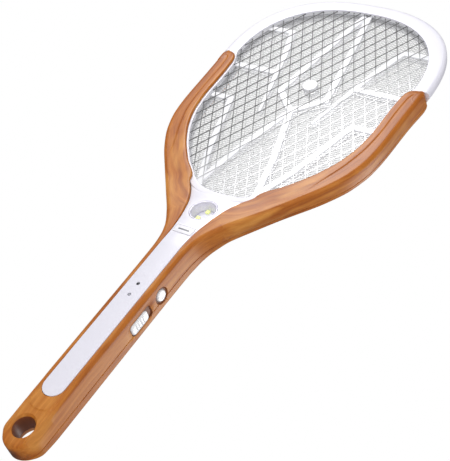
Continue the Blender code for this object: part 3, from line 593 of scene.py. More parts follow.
def casing_hollow(name):
    """The space inside both shells, which also lets the head frames pass under the arms."""
    sections = []
    for q in (*HOLLOW_PLACES, *(THROAT_END + z - ARM_START_Z for z in HOLLOW_ARM_ZS)):
        inner, outer = station(q)
        z = (inner.y + outer.y) / 2
        length = (outer - inner).length
        face, back = hollow_front_line(z), hollow_rear_line(z)
        taper = min(taper_line(z), 0.3 * length)
        edge = length - WALL
        profile = [(edge - 1.3, face), (edge, face + 1.5), (edge, -1)]
        profile += [(edge - taper, max(back - 3.0, 3.0)), (edge - taper - 1.2, back)]
        lead = inner.copy()
        if q > THROAT_END - 40:
            lead += Vector((0, 6)) if inner.x < 28 else (inner - outer).normalized() * 6
        middle = [place_on((inner, outer), d, y) for d, y in profile]
        sections.append([(lead.x, face, lead.y), *middle, (lead.x, back, lead.y)])
    for x, z, reach in RING_PASSAGE:
        profile = [
            (-8, -6.3), (reach - 1, -6.3), (reach, -5.3), (reach, -1), (reach, 3), (reach - 1, 6.3), (-8, 6.3),
        ]
        sections.append([(x + d, y, z) for d, y in profile])
    return loft(name, sections, mirrored=True)


STRIP_TURNS = (1, 4, 8, 13, 19, 26, 34, 42, 51, 60, 70, 80, 90)


def strip_solid(name):
    """The white strip and throat plate, with a softened edge."""
    end = STRIP_START + STRIP_HALF
    places = [end - STRIP_HALF * math.cos(math.radians(a)) for a in STRIP_TURNS]
    places += list(np.arange(60, 190, 10)) + list(np.arange(190, 258, 2.5)) + [258]
    sections = []
    for z in places:
        wide, face = strip_width(z), strip_line(z)
        soft = min(0.6, wide / 3)
        points = [(0, face)]
        points += [(wide - soft * (1 - rise), face + soft * away) for away, rise in quarter(4)]
        points += [(wide, face + STRIP_THICK), (0, face + STRIP_THICK)]
        sections.append([(x, y, z) for x, y in points])
    return loft(name, sections, mirrored=True)


# Head outlines


def arch(shape, turn):
    half, rise, power = shape
    x = half * max(math.cos(turn), 0.0) ** (2 / power)
    return Vector((x, ARCH_Z + rise * math.sin(turn) ** (2 / power)))


ARCH_STEPS = 44


def opening_half():
    """(opening point, frame's outer point) pairs of the +X half, from the bottom to the top."""
    inner = [Vector((x, opening_foot(x))) for x in np.arange(0, 31.6, 3.5)]
    for z in [269, 272.5, 276] + list(np.arange(281, 401, 5)) + [402, 404, 406, 408, 410]:
        side = Vector((arm_inner(z) - 2, z))
        if z > 401:
            side.x = 81.9 + (z - 401) * 0.41
        inner.append(side)
    pairs = []
    for i, spot in enumerate(inner):
        before = inner[i - 1] if i else Vector((-3.5, opening_foot(3.5)))
        after = inner[i + 1] if i + 1 < len(inner) else Vector((86.5, 413))
        along = (after - before).normalized()
        pairs.append((spot, spot + Vector((along.y, -along.x)) * RING_WIDTH))
    pairs.append((Vector((87.5, ARM_TIP_Z + 0.1)), Vector((93.4, ARM_TIP_Z + GAP))))
    pairs.append((Vector((87.6, ARM_TIP_Z + 0.4)), Vector((ARCH_OUTER[0], ARM_TIP_Z + 0.4))))
    for step in range(1, ARCH_STEPS):
        turn = math.radians(90) * (step / ARCH_STEPS) ** 1.25
        pairs.append((arch(ARCH_INNER, turn), arch(ARCH_OUTER, turn)))
    top = math.radians(90)
    pairs.append((Vector((0, arch(ARCH_INNER, top).y)), Vector((0, arch(ARCH_OUTER, top).y))))
    return pairs


def opening_loop():
    right = opening_half()
    left = [(Vector((-a.x, a.y)), Vector((-b.x, b.y))) for a, b in right[1:-1]]
    return right + left[::-1]


OPENING = opening_loop()


def off_edge(pair, d, y):
    spot = pair[0] + (pair[1] - pair[0]).normalized() * d
    return (spot.x, y, spot.y)


def ring_solid(name, side):
    """Half of the head frame: side -1 is the front half, +1 the rear half."""
    sections = []
    for pair in OPENING:
        width = (pair[1] - pair[0]).length
        wide = width > RING_WIDTH + 1
        lean = 5.0 if wide and side > 0 else 0.0
        soft_d, soft_y = (3.0, 2.8) if wide else (0.8, 0.8)
        profile = [(0, RING_LIP_Y), (0, 5.2)]
        profile += [(0.8 * away, 5.2 + 0.8 * rise) for away, rise in quarter(5)[1:]]
        flat = width - lean - soft_d
        profile += [(0.8 + (flat - 0.8) * k / 4, RING_FACE_Y) for k in (1, 2, 3)]
        for away, rise in quarter(8):
            profile.append((flat + (soft_d + 0.5 * lean) * rise, RING_FACE_Y - soft_y * away))
        profile += [(width - 0.3 * lean, 1.6), (width - 0.1, RING_SEAM_Y)]
        profile += [(RIM_COVER + GAP, RING_SEAM_Y), (RIM_COVER + GAP, RING_LIP_Y)]
        sections.append([off_edge(pair, d, side * y) for d, y in profile])
    return loft(name, sections, closed=True)


def loop_band(name, offset_in, low, high, soft=0.0):
    """A flat ring that follows the head opening, out to the edge that the frame covers."""
    profile = [(RIM_COVER, low), (RIM_COVER, high), (offset_in, high), (offset_in, low)]
    if soft:
        edge = [(offset_in + soft, high), (offset_in, high - soft * 0.6)]
        profile[2:] = edge + [(offset_in, low + soft * 0.6), (offset_in + soft, low)]
    sections = [[off_edge(pair, d, y) for d, y in profile] for pair in OPENING]
    return loft(name, sections, closed=True)


def loop_sheet(name, offset, low, high):
    """A flat solid that fills the opening out to an offset."""
    bm = bmesh.new()
    lower = [bm.verts.new(Vector(off_edge(p, offset, low)) * MM) for p in OPENING]
    upper = [bm.verts.new(Vector(off_edge(p, offset, high)) * MM) for p in OPENING]
    for i in range(len(lower)):
        n = (i + 1) % len(lower)
        bm.faces.new((lower[i], lower[n], upper[n], upper[i]))
    bm.faces.new(lower)
    bm.faces.new(upper)
    bmesh.ops.recalc_face_normals(bm, faces=bm.faces)
    return made(name, bm)


def crossings(start, along, offset):
    """Places on a line where it meets the opening's edge, moved out by an offset."""
    corners = np.array([off_edge(p, offset, 0) for p in OPENING])[:, [0, 2]]
    ends = np.roll(corners, -1, axis=0)
    edge = ends - corners
    start, along = np.array(start, float), np.array(along, float)
    cross = along[0] * edge[:, 1] - along[1] * edge[:, 0]
    safe = np.where(np.abs(cross) < 1e-12, 1e-12, cross)
    to = corners - start
    t = (to[:, 0] * edge[:, 1] - to[:, 1] * edge[:, 0]) / safe
    s = (to[:, 0] * along[1] - to[:, 1] * along[0]) / safe
    return np.sort(t[(s >= 0) & (s < 1) & (np.abs(cross) > 1e-12)])


def add_wire(bm, start, end, y, radius, sides):
    """One straight wire in the X-Z plane, closed at both ends."""
    start, end = np.array(start), np.array(end)
    along = (end - start) / np.linalg.norm(end - start)
    across = np.array((along[1], -along[0]))
    rings = []
    for spot in (start, end):
        ring = []
        for k in range(sides):
            turn = math.tau * (k + 0.5) / sides
            x, z = spot + across * math.cos(turn) * radius
            ring.append(bm.verts.new(Vector((x, y + math.sin(turn) * radius, z)) * MM))
        rings.append(ring)
    for k in range(sides):
        n = (k + 1) % sides
        bm.faces.new((rings[0][k], rings[0][n], rings[1][n], rings[1][k]))
    bm.faces.new(rings[0][::-1])
    bm.faces.new(rings[1])


def wire_field(name, directions, pitch, y_offsets, middle_y, radius, sides, offset):
    """Parallel wires in each direction across the opening."""
    bm = bmesh.new()
    for direction, shift in zip(directions, y_offsets):
        along = np.array(direction) / np.linalg.norm(direction)
        across = np.array((along[1], -along[0]))
        for k in range(-140, 141):
            spot = np.array((0.0, GRID_CENTRE_Z)) + across * (k * pitch)
            meets = crossings(spot, along, offset)
            for a, b in zip(meets[0::2], meets[1::2]):
                if b - a > 0.5:
                    add_wire(bm, spot + along * a, spot + along * b, middle_y + shift, radius, sides)
    bmesh.ops.recalc_face_normals(bm, faces=bm.faces)
    return made(name, bm)


def guard_grid(name, side):
    """Diamond grid with its rim, and how many of its faces are the rim's."""
    rise = CELL_LONG / CELL_SHORT
    pitch = CELL_SHORT * math.sin(math.atan(rise))
    lines = [(1, rise), (1, -rise)], pitch, (-0.2, 0.2), side * GRID_Y
    wires = wire_field(name + "_wires", *lines, WIRE_RADIUS, 8, RIM_COVER - 1.2)
    low, high = sorted((side * (GRID_Y - GRID_THICK / 2), side * (GRID_Y + GRID_THICK / 2)))
    rim = loop_band(name + "_rim", 0.2, low, high, 0.1)
    rim_faces = len(rim.data.polygons)
    return bodies_of(name, [rim, wires]), rim_faces


def woven_mesh(name):
    """Fine mesh with its rim, and how many of its faces are the rim's."""
    lines = [(0.8, 0.61), (-0.8, 0.61)], WEAVE_PITCH, (-0.08, 0.08), 0.0
    wires = wire_field(name + "_wires", *lines, WEAVE_RADIUS, 4, RIM_COVER - 1.0)
    rim = loop_band(name + "_rim", 0.3, -0.2, 0.2)
    rim_faces = len(rim.data.polygons)
    return bodies_of(name, [rim, wires]), rim_faces


RIB_BARS = [
    ((0, 503), (6, 478), 7, 6), ((6, 478), (23.2, 383), 6, 6), ((98, 459), (56, 459), 6, 6),
    ((56, 459), (45.3, 428), 6, 6), ((45.3, 428), (26, 355), 6, 2.5), ((94, 404), (39, 404), 6, 6),
    ((23.2, 385), (0, 363), 6, 6), ((0, 363), (17.7, 308), 6, 6), ((17.7, 308), (26.5, 268), 6, 6),
    ((92, 361.5), (60, 361.5), 6, 6), ((60, 361.5), (40.8, 298), 6, 6), ((40.8, 298), (25, 262), 6, 6),
]


def rib_bar(name, start, end, width, end_width, low, high):
    """A flat bar with softened long edges."""
    start, end = Vector(start), Vector(end)
    along = (end - start).normalized()
    across = Vector((along.y, -along.x))
    middle, deep = (low + high) / 2, (high - low) / 2
    sections = []
    for spot, wide in ((start, width), (end, end_width)):
        half = wide / 2
        soft = min(0.5, half / 3)
        near = [(half, soft - deep), (half - soft, -deep), (soft - half, -deep), (-half, soft - deep)]
        profile = near + [(a, -y) for a, y in near[::-1]]
        sections.append([((spot + across * a).x, middle + y, (spot + across * a).y) for a, y in profile])
    return loft(name, sections)


def rib_bracket(name, side):
    """Moulded zig-zag ribs that hold the grids apart."""
    low, high = sorted((side * (RIB_Y - RIB_THICK / 2), side * (RIB_Y + RIB_THICK / 2)))
    parts = [loop_band(name + "_rim", 0.2, low, high, 0.3)]
    knees = set()
    for i, (start, end, width, end_width) in enumerate(RIB_BARS):
        for flip in (1, -1):
            a, b = np.array((start[0] * flip, start[1]), float), np.array((end[0] * flip, end[1]), float)
            along = b - a
            meets = crossings(a, along, RIM_COVER - 1.2)
            t0, t1 = 0.0, 1.0
            if len(meets) >= 2:
                t0, t1 = max(0.0, meets[0]), min(1.0, meets[-1])
            ends = tuple(a + along * t0), tuple(a + along * t1)
            thin = 0.015 * (i % 4 + 1)
            parts.append(rib_bar("%s_bar_%d" % (name, i), *ends, width, end_width, low + thin, high - thin))
            if t1 == 1.0:
                knees.add((end[0] * flip, end[1], end_width))
    middle, deep = (low + high) / 2, (high - low) / 2 - 0.09
    for x, z, width in sorted(knees):
        radius = width / 2
        edge = [(0, deep), (radius - 0.5, deep), (radius, deep - 0.5)]
        disc = turned(name + "_knee", edge + [(r, -h) for r, h in edge[::-1]], 24)
        disc.matrix_world = Matrix.Translation(Vector((x, middle, z)) * MM) @ AXIS_TURN["Y"]
        bpy.context.view_layer.update()
        parts.append(disc)
    return bodies_of(name, parts)


def centre_spacer(name, side):
    """The round pad in the middle of the head, between the mesh and a guard grid."""
    near, far = 0.5, SPACER_FACE_Y
    profile = [(0, near), (SPACER_RADIUS, near), (SPACER_RADIUS, far), (0, far)]
    pad = turned(name, rounded_profile([(r, -side * y) for r, y in profile], 0.5), 48)
    pad.matrix_world = Matrix.Translation(Vector((0, 0, GRID_CENTRE_Z)) * MM) @ AXIS_TURN["Y"]
    return pad


# Casing pieces


def screw_spots():
    """Name and (x, z, rear face) of each housing screw, as the frame places them."""
    spots = {}
    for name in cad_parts:
        if name.startswith("screw_"):
            low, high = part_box(name)
            middle = (low + high) / 2 / MM
            spots[name] = (middle.x, middle.z, high.y / MM)
    return spots


def hollow_with_bosses(label):
    hollow = casing_hollow(label + "_hollow")
    for name, (x, z, rear) in screw_spots().items():
        if name != "screw_tail":
            radius = 3.0 if abs(x) < 1 else 2.7
            cut(hollow, rod(label + "_boss_" + name, "Y", (x, -15, z), radius, 30, sides=24))
    return hollow


def cut_control_openings(shell, label):
    """Pockets and wall openings of the push button and the slide knob; they cross the seam."""
    dish = turned(label + "_button_dish", rounded_profile([
        (0, 6), (9.6, 6), (BUTTON_POCKET + 0.4, 1.15), (BUTTON_POCKET - 0.3, 0), (0, 0),
    ], 0.6))
    dish.matrix_world = Matrix.Translation(Vector((POCKET_X, CONTROL_Y, BUTTON_Z)) * MM) @ AXIS_TURN["X"]
    cut(shell, dish)
    cut(shell, rod(label + "_button_bore", "X", (9, CONTROL_Y, BUTTON_Z), BUTTON_RADIUS + GAP, 6))
    half_wide = KNOB_WIDE / 2 + 0.4
    low = KNOB_Z - KNOB_LONG / 2 - 0.45
    high = KNOB_Z + KNOB_LONG / 2 + KNOB_TRAVEL + 0.45
    cut(shell, knob_outline(label + "_knob_pocket", low, high, half_wide, POCKET_X, 18, 3.0, flare=1.4))
    middle = KNOB_Z + KNOB_TRAVEL / 2
    cut(shell, rounded_box(
        label + "_knob_slot", (9, CONTROL_Y - 2.4, middle - 6.5), (18, CONTROL_Y + 2.4, middle + 6.5), 0,
    ))


def knob_outline(name, low, high, half_wide, x_from, x_to, corner, flare=0.0):
    """A block along X whose outline has four rounded corners; flare opens its outer end."""
    sections = []
    for x, grow in ((x_from, 0.0), (x_from + 0.9, 0.0), (x_from + 1.3, flare * 0.5), (x_to, flare * 2.5)):
        ring = []
        for cy, cz, start in ((1, 1, 0), (-1, 1, 90), (-1, -1, 180), (1, -1, 270)):
            for k in range(7):
                turn = math.radians(start + 15 * k)
                y = CONTROL_Y + cy * (half_wide - corner) + (corner + grow) * math.cos(turn)
                z = (high - corner if cz > 0 else low + corner) + (corner + grow) * math.sin(turn)
                ring.append((x, y, z))
        sections.append(ring)
    return loft(name, sections)


def hang_hole(name):
    """The eye in the tail: a bevelled rim, a straight bore and a dished back."""
    profile = rounded_profile([
        (0, 16), (14.2, 16), (HANG_HOLE_RADIUS, 8.6), (HANG_HOLE_RADIUS, -4.4), (12.6, -13.2), (0, -13.2),
    ], 0.8)
    hole = turned(name, profile, 72)
    hole.matrix_world = Matrix.Translation(Vector((0, 0, HANG_HOLE_Z)) * MM) @ AXIS_TURN["Y"]
    return hole


def tail_facet():
    """The flat facet that takes off the corner beside the eye, on the right side only."""
    block = rounded_box("tail_facet", (-30, -30, 0), (30, 30, 20), 0)
    bpy.context.view_layer.update()
    turn = Vector(FACET_NORMAL).to_track_quat("Z", "Y").to_matrix().to_4x4()
    block.matrix_world = (
        Matrix.Translation(Vector(FACET_SPOT) * MM) @ turn @ Matrix.Translation(block.location)
    )
    return block


def front_shell():
    shell = casing_solid("casing_front", front_section)
    cut(shell, tail_facet())
    cut(shell, hang_hole("front_hang_hole"))
    for name, (x, z, rear) in screw_spots().items():
        cut(shell, rod("front_bore_" + name, "Y", (x, -4.5, z), SCREW_SHANK + GAP, 12, sides=16))
    cut_control_openings(shell, "front")
    lamp = turned("lamp_clearance", [(0, 10), (LAMP_RADIUS + 0.9, 10), (LAMP_RADIUS + 0.9, -12), (0, -12)])
    lamp.matrix_world = lamp_matrix()
    cut(shell, lamp)
    for label, z in (("power", POWER_DOT_Z), ("charge", CHARGE_DOT_Z)):
        cut(shell, rod(label + "_dot_bore", "Y", (0, -14, z), DOT_RADIUS + GAP, 9, sides=24))
    cut(shell, rounded_box(
        "socket_mouth", (-18, CONTROL_Y - 2.0, SOCKET_Z - 4.3), (-9, CONTROL_Y + 2.0, SOCKET_Z + 4.3), 0.8,
    ))
    cut(shell, hollow_with_bosses("front"))
    return shell


def rear_shell():
    shell = casing_solid("casing_rear", rear_section)
    cut(shell, hang_hole("rear_hang_hole"))
    for name, (x, z, rear) in screw_spots().items():
        sink, bore = SCREW_HEAD + GAP, SCREW_SHANK + GAP
        bored = turned("rear_bore_" + name, [
            (0, 20), (sink, 20), (sink, rear - 1.3), (bore, rear - 1.3), (bore, 3), (0, 3),
        ], 32)
        bored.matrix_world = (
            Matrix.Translation(Vector((x, 0, z)) * MM) @ Matrix.Rotation(-math.pi / 2, 4, "X")
        )
        cut(shell, bored)
    cut_control_openings(shell, "rear")
    cut(shell, hollow_with_bosses("rear"))
    return shell


def lamp_matrix():
    """The lamp's own +Z points out of the throat, leaning with the plate around it."""
    turn = Matrix.Rotation(math.pi / 2 - LAMP_TILT, 4, "X")
    return Matrix.Translation(Vector((0, LAMP_Y, LAMP_Z)) * MM) @ turn


def front_frame():
    ring = ring_solid("head_frame_front", -1)
    plate = strip_solid("strip_and_throat")
    cut(plate, loop_sheet("lip_clearance", 0.9, -20, -4.7))
    cut(plate, loop_sheet("seat_clearance", RIM_COVER + GAP + 0.05, -4.72, 10))
    cut(ring, plate, "UNION")
    rim = rounded_profile([
        (0, 12), (LAMP_RADIUS + 3, 3.4), (LAMP_RADIUS + GAP, -0.3), (LAMP_RADIUS + GAP, -12), (0, -12),
    ], 0.5)
    window = turned("lamp_window", rim)
    window.matrix_world = lamp_matrix()
    cut(ring, window)
    for label, z in (("power", POWER_DOT_Z), ("charge", CHARGE_DOT_Z)):
        cut(ring, rod(label + "_dot_window", "Y", (0, -14, z), DOT_RADIUS + GAP, 9, sides=32))
    seat = rounded_box("name_plate_seat", (-8.9, -3, -4.15), (8.9, 0.6, 4.15), 0.5)
    set_on_throat(seat, PLATE_Z)
    cut(ring, seat)
    return ring


def throat_slope(z):
    return math.atan((strip_line(z + 1) - strip_line(z - 1)) / 2)


def set_on_throat(obj, z):
    """Moves a piece that was built round the origin onto the throat plate, leaning with it."""
    lean = Matrix.Rotation(-throat_slope(z), 4, "X")
    spot = Matrix.Translation(Vector((0, strip_line(z), z)) * MM)
    obj.matrix_world = spot @ lean @ Matrix.Translation(obj.location)
    return obj


# Finishes


class Finish:
    """A material with its Principled shader and short calls for its nodes."""

    def __init__(self, name, rough, metal=0.0, coat=0.0):
        self.material = bpy.data.materials.new(name)
        self.material.use_nodes = True
        self.nodes = self.material.node_tree.nodes
        self.links = self.material.node_tree.links
        self.shader = self.nodes["Principled BSDF"]
        self.shader.inputs["Roughness"].default_value = rough
        self.shader.inputs["Metallic"].default_value = metal
        self.shader.inputs["Coat Weight"].default_value = coat
        self.shader.inputs["Coat Roughness"].default_value = 0.12

    def node(self, kind, **values):
        made = self.nodes.new(kind)
        for key, value in values.items():
            if key in made.inputs:
                made.inputs[key].default_value = value
            else:
                setattr(made, key, value)
        return made

    def link(self, source, target):
        self.links.new(source, target)

    def place(self, attribute=None, scale=(1, 1, 1)):
        """Coordinates in millimetres, from an attribute or from the object."""
        if attribute:
            source = self.node("ShaderNodeAttribute", attribute_name=attribute).outputs["Vector"]
        else:
            source = self.node("ShaderNodeTexCoord").outputs["Object"]
            scale = tuple(s / MM for s in scale)
        mapping = self.node("ShaderNodeMapping")
        mapping.inputs["Scale"].default_value = scale
        self.link(source, mapping.inputs["Vector"])
        return mapping.outputs["Vector"]

    def noise(self, vector, scale, detail=3.0, rough=0.5, distortion=0.0):
        made = self.node(
            "ShaderNodeTexNoise", Scale=scale, Detail=detail, Roughness=rough, Distortion=distortion,
        )
        self.link(vector, made.inputs["Vector"])
        return made.outputs["Fac"]

    def ramp(self, source, stops):
        made = self.node("ShaderNodeValToRGB")
        held = made.color_ramp.elements
        while len(held) < len(stops):
            held.new(0.5)
        for element, (spot, color) in zip(held, stops):
            element.position = spot
            element.color = (*color, 1.0)
        self.link(source, made.inputs["Fac"])
        return made.outputs["Color"]

    def mix(self, factor, a, b, mode="MIX"):
        made = self.node("ShaderNodeMix", data_type="RGBA", blend_type=mode)
        for socket, value in ((made.inputs[0], factor), (made.inputs[6], a), (made.inputs[7], b)):
            if isinstance(value, bpy.types.NodeSocket):
                self.link(value, socket)
            elif isinstance(value, tuple):
                socket.default_value = (*value, 1.0)
            else:
                socket.default_value = value
        return made.outputs[2]

    def scaled(self, source, low, high):
        made = self.node("ShaderNodeMapRange")
        made.inputs["To Min"].default_value = low
        made.inputs["To Max"].default_value = high
        self.link(source, made.inputs["Value"])
        return made.outputs["Result"]

    def bump(self, source, strength, distance=0.1):
        made = self.node("ShaderNodeBump", Strength=strength, Distance=distance * MM)
        self.link(source, made.inputs["Height"])
        self.link(made.outputs["Normal"], self.shader.inputs["Normal"])

    def color(self, source):
        self.link(source, self.shader.inputs["Base Color"])

    def rough(self, source, low, high):
        self.link(self.scaled(source, low, high), self.shader.inputs["Roughness"])


def wood_finish():
    """Glossy print of orange wood: long streaks along the casing, pale patches and dark veins."""
    f = Finish("wood_print", 0.38, coat=0.0)
    f.shader.inputs["Specular IOR Level"].default_value = 0.27
    warp = f.node("ShaderNodeTexNoise", noise_dimensions="3D", Scale=1.0, Detail=2.0)
    f.link(f.place(scale=(1 / 34, 1 / 34, 1 / 60)), warp.inputs["Vector"])
    centred = f.node("ShaderNodeVectorMath", operation="MULTIPLY_ADD")
    centred.inputs[1].default_value = (9, 9, 9)
    centred.inputs[2].default_value = (-4.5, -4.5, -4.5)
    f.link(warp.outputs["Color"], centred.inputs[0])
    total = f.node("ShaderNodeVectorMath", operation="ADD")
    f.link(f.node("ShaderNodeAttribute", attribute_name="grain").outputs["Vector"], total.inputs[0])
    f.link(centred.outputs[0], total.inputs[1])

    def stretched(across, along):
        mapping = f.node("ShaderNodeMapping")
        mapping.inputs["Scale"].default_value = (1 / across, 1 / across, 1 / along)
        f.link(total.outputs[0], mapping.inputs["Vector"])
        return mapping.outputs["Vector"]

    fine = f.noise(stretched(1.5, 38), 1.0, 5.0, 0.6)
    veins = f.noise(stretched(4.2, 120), 1.0, 3.0, 0.55, 0.35)
    patches = f.noise(stretched(11, 46), 1.0, 2.0, 0.5)
    base = f.ramp(veins, [
        (0.30, (0.38, 0.100, 0.009)), (0.48, (0.50, 0.150, 0.015)), (0.68, (0.61, 0.22, 0.030)),
    ])
    pale = f.ramp(patches, [(0.50, (0, 0, 0)), (0.76, (1, 1, 1))])
    soft = f.mix(pale, base, (0.71, 0.305, 0.060))
    streak = f.ramp(fine, [(0.34, (0.80, 0.72, 0.62)), (0.55, (1, 1, 1))])
    f.color(f.mix(0.55, soft, streak, "MULTIPLY"))
    f.rough(fine, 0.44, 0.38)
    f.bump(fine, 0.012, 0.03)
    return f.material


def plastic_finish(name, color, dark, rough=0.36, coat=0.15):
    """Moulded plastic with a faint orange-peel surface and slight tone changes."""
    f = Finish(name, rough, coat=coat)
    broad = f.noise(f.place(scale=(1 / 30,) * 3), 1.0, 2.0)
    f.color(f.mix(f.scaled(broad, 0.0, 1.0), color, dark))
    peel = f.noise(f.place(scale=(1 / 0.9,) * 3), 1.0, 2.0)
    f.rough(broad, rough - 0.05, rough + 0.06)
    f.bump(peel, 0.08, 0.04)
    return f.material


def wire_finish(name, dull, painted_highlight_color):
    """Guard wire: dull at the upper left, with a painted highlight that turns its colour bright towards the
    lower right.
    """
    f = Finish(name, 0.36, 0.3)
    # Painted highlight: a mask across the head, from the upper left to the lower right, mixes the dull colour
    # into a bright one.
    across = f.node("ShaderNodeVectorMath", operation="DOT_PRODUCT")
    across.inputs[1].default_value = (0.85, 0, -0.53)
    f.link(f.node("ShaderNodeTexCoord").outputs["Object"], across.inputs[0])
    painted_highlight = f.node("ShaderNodeMapRange")
    painted_highlight.inputs["From Min"].default_value = -0.195
    painted_highlight.inputs["From Max"].default_value = -0.140
    f.link(across.outputs["Value"], painted_highlight.inputs["Value"])
    spots = f.noise(f.place(scale=(1 / 9,) * 3), 1.0, 2.0)
    worn = f.mix(f.scaled(spots, 0.0, 0.5), dull, tuple(c * 0.6 for c in dull))
    f.color(f.mix(painted_highlight.outputs["Result"], worn, painted_highlight_color))
    f.rough(spots, 0.30, 0.45)
    f.bump(f.noise(f.place(scale=(1, 1, 0.08)), 2.2, 4.0, 0.6), 0.1, 0.03)
    return f.material


def label_finish():
    """The plate under the lamp: the frame's white with one plain grey dash."""
    f = Finish("pale_plate", 0.42)
    where = f.node("ShaderNodeSeparateXYZ")
    f.link(f.node("ShaderNodeTexCoord").outputs["Object"], where.inputs[0])
    inside = []
    for axis, half, middle in (("X", 5.2, 0.0), ("Z", 0.75, PLATE_Z)):
        shifted = f.node("ShaderNodeMath", operation="SUBTRACT")
        f.link(where.outputs[axis], shifted.inputs[0])
        shifted.inputs[1].default_value = middle * MM
        reach = f.node("ShaderNodeMath", operation="ABSOLUTE")
        f.link(shifted.outputs[0], reach.inputs[0])
        edge = f.node("ShaderNodeMapRange")
        edge.inputs["From Min"].default_value = (half + 0.25) * MM
        edge.inputs["From Max"].default_value = (half - 0.25) * MM
        f.link(reach.outputs[0], edge.inputs["Value"])
        inside.append(edge.outputs["Result"])
    both = f.node("ShaderNodeMath", operation="MULTIPLY")
    f.link(inside[0], both.inputs[0])
    f.link(inside[1], both.inputs[1])
    broad = f.noise(f.place(scale=(1 / 8,) * 3), 1.0, 2.0)
    plain = f.mix(f.scaled(broad, 0.0, 1.0), (0.94, 0.925, 0.96), (0.90, 0.885, 0.93))
    f.color(f.mix(both.outputs[0], plain, (0.13, 0.13, 0.15)))
    f.rough(broad, 0.38, 0.5)
    f.bump(broad, 0.08, 0.04)
    return f.material


def recess_shade_finish():
    """Painted shade for the bores and pockets of the shells: a dark brown, varied by a noise."""
    f = Finish("bare_brown", 0.5)
    broad = f.noise(f.place(scale=(1 / 6,) * 3), 1.0, 3.0)
    # Painted shade: dark browns that stand in for the shade that falls inside the recesses.
    f.color(f.mix(f.scaled(broad, 0.0, 1.0), (0.28, 0.085, 0.022), (0.18, 0.05, 0.014)))
    f.rough(broad, 0.42, 0.58)
    f.bump(broad, 0.1, 0.05)
    return f.material


def metal_finish(name, color, dark, rough, metal=1.0, stretch=(1, 1, 0.08)):
    """Drawn or brushed metal with fine lines and dull spots."""
    f = Finish(name, rough, metal)
    lines = f.noise(f.place(scale=stretch), 2.2, 4.0, 0.6)
    spots = f.noise(f.place(scale=(1 / 14,) * 3), 1.0, 2.0)
    f.color(f.mix(f.scaled(spots, 0.0, 1.0), color, dark))
    f.rough(lines, rough - 0.08, rough + 0.12)
    f.bump(lines, 0.15, 0.03)
    return f.material


def lens_finish():
    """Clear plastic: see-through, with a painted sheen: its pale colour shows more at a low angle."""
    f = Finish("clear_lens", 0.2)
    f.shader.inputs["Base Color"].default_value = (0.9, 0.9, 0.97, 1.0)
    speck = f.noise(f.place(scale=(1 / 5,) * 3), 1.0, 2.0)
    f.rough(speck, 0.2, 0.3)
    # Painted sheen: the Fresnel term raises the alpha, so more of the pale base colour shows at a low angle.
    fresnel = f.node("ShaderNodeFresnel", IOR=1.2)
    painted_sheen = f.scaled(fresnel.outputs[0], 0.02, 0.5)
    f.link(painted_sheen, f.shader.inputs["Alpha"])
    return f.material


def chip_finish():
    f = Finish("led_phosphor", 0.4)
    grains = f.noise(f.place(scale=(2,) * 3), 1.0, 3.0)
    f.color(f.ramp(grains, [(0.35, (0.62, 0.68, 0.10)), (0.65, (0.86, 0.90, 0.34))]))
    # Painted glow: a faint emission makes the phosphor brighter than the light on it.
    f.link(
        f.ramp(grains, [(0.3, (0.7, 0.8, 0.15)), (0.7, (0.9, 0.95, 0.4))]), f.shader.inputs["Emission Color"],
    )
    f.shader.inputs["Emission Strength"].default_value = 0.45
    return f.material


def board_finish():
    f = Finish("circuit_board", 0.42)
    cells = f.node("ShaderNodeTexBrick", Scale=1.0)
    cells.inputs["Color1"].default_value = (0.02, 0.17, 0.07, 1)
    cells.inputs["Color2"].default_value = (0.03, 0.22, 0.09, 1)
    cells.inputs["Mortar"].default_value = (0.30, 0.24, 0.08, 1)
    cells.inputs["Mortar Size"].default_value = 0.04
    f.link(f.place(scale=(0.3, 0.3, 0.3)), cells.inputs["Vector"])
    f.color(cells.outputs["Color"])
    f.bump(cells.outputs["Fac"], 0.2, 0.05)
    return f.material


# Camera, light and floor, from the angle of view

VIEW_LENS = 82.95
VIEW_SENSOR = 36.0
VIEW_SPOT = (0.4514, -0.5594, -0.1696)
VIEW_RIGHT = Vector((0.80694, 0.23273, 0.54285))
VIEW_UP = Vector((-0.26090, -0.68411, 0.68112))
VIEW_BACK = Vector((0.52989, -0.69125, -0.49131))


def add_camera():
    data = bpy.data.cameras.new("camera")
    data.lens = VIEW_LENS
    data.sensor_width = VIEW_SENSOR
    data.clip_start = 0.01
    camera = linked("camera", data)
    turn = Matrix((VIEW_RIGHT, VIEW_UP, VIEW_BACK)).transposed().to_4x4()
    camera.matrix_world = Matrix.Translation(VIEW_SPOT) @ turn
    bpy.context.scene.camera = camera


def add_area(name, spot, target, size, power, color=(1, 1, 1)):
    data = bpy.data.lights.new(name, "AREA")
    data.shape = "DISK"
    data.size = size
    data.energy = power
    data.color = color
    light = linked(name, data)
    aim = Vector(target) - Vector(spot)
    light.matrix_world = Matrix.Translation(spot) @ aim.to_track_quat("-Z", "Y").to_matrix().to_4x4()
    light.visible_camera = False
    return light


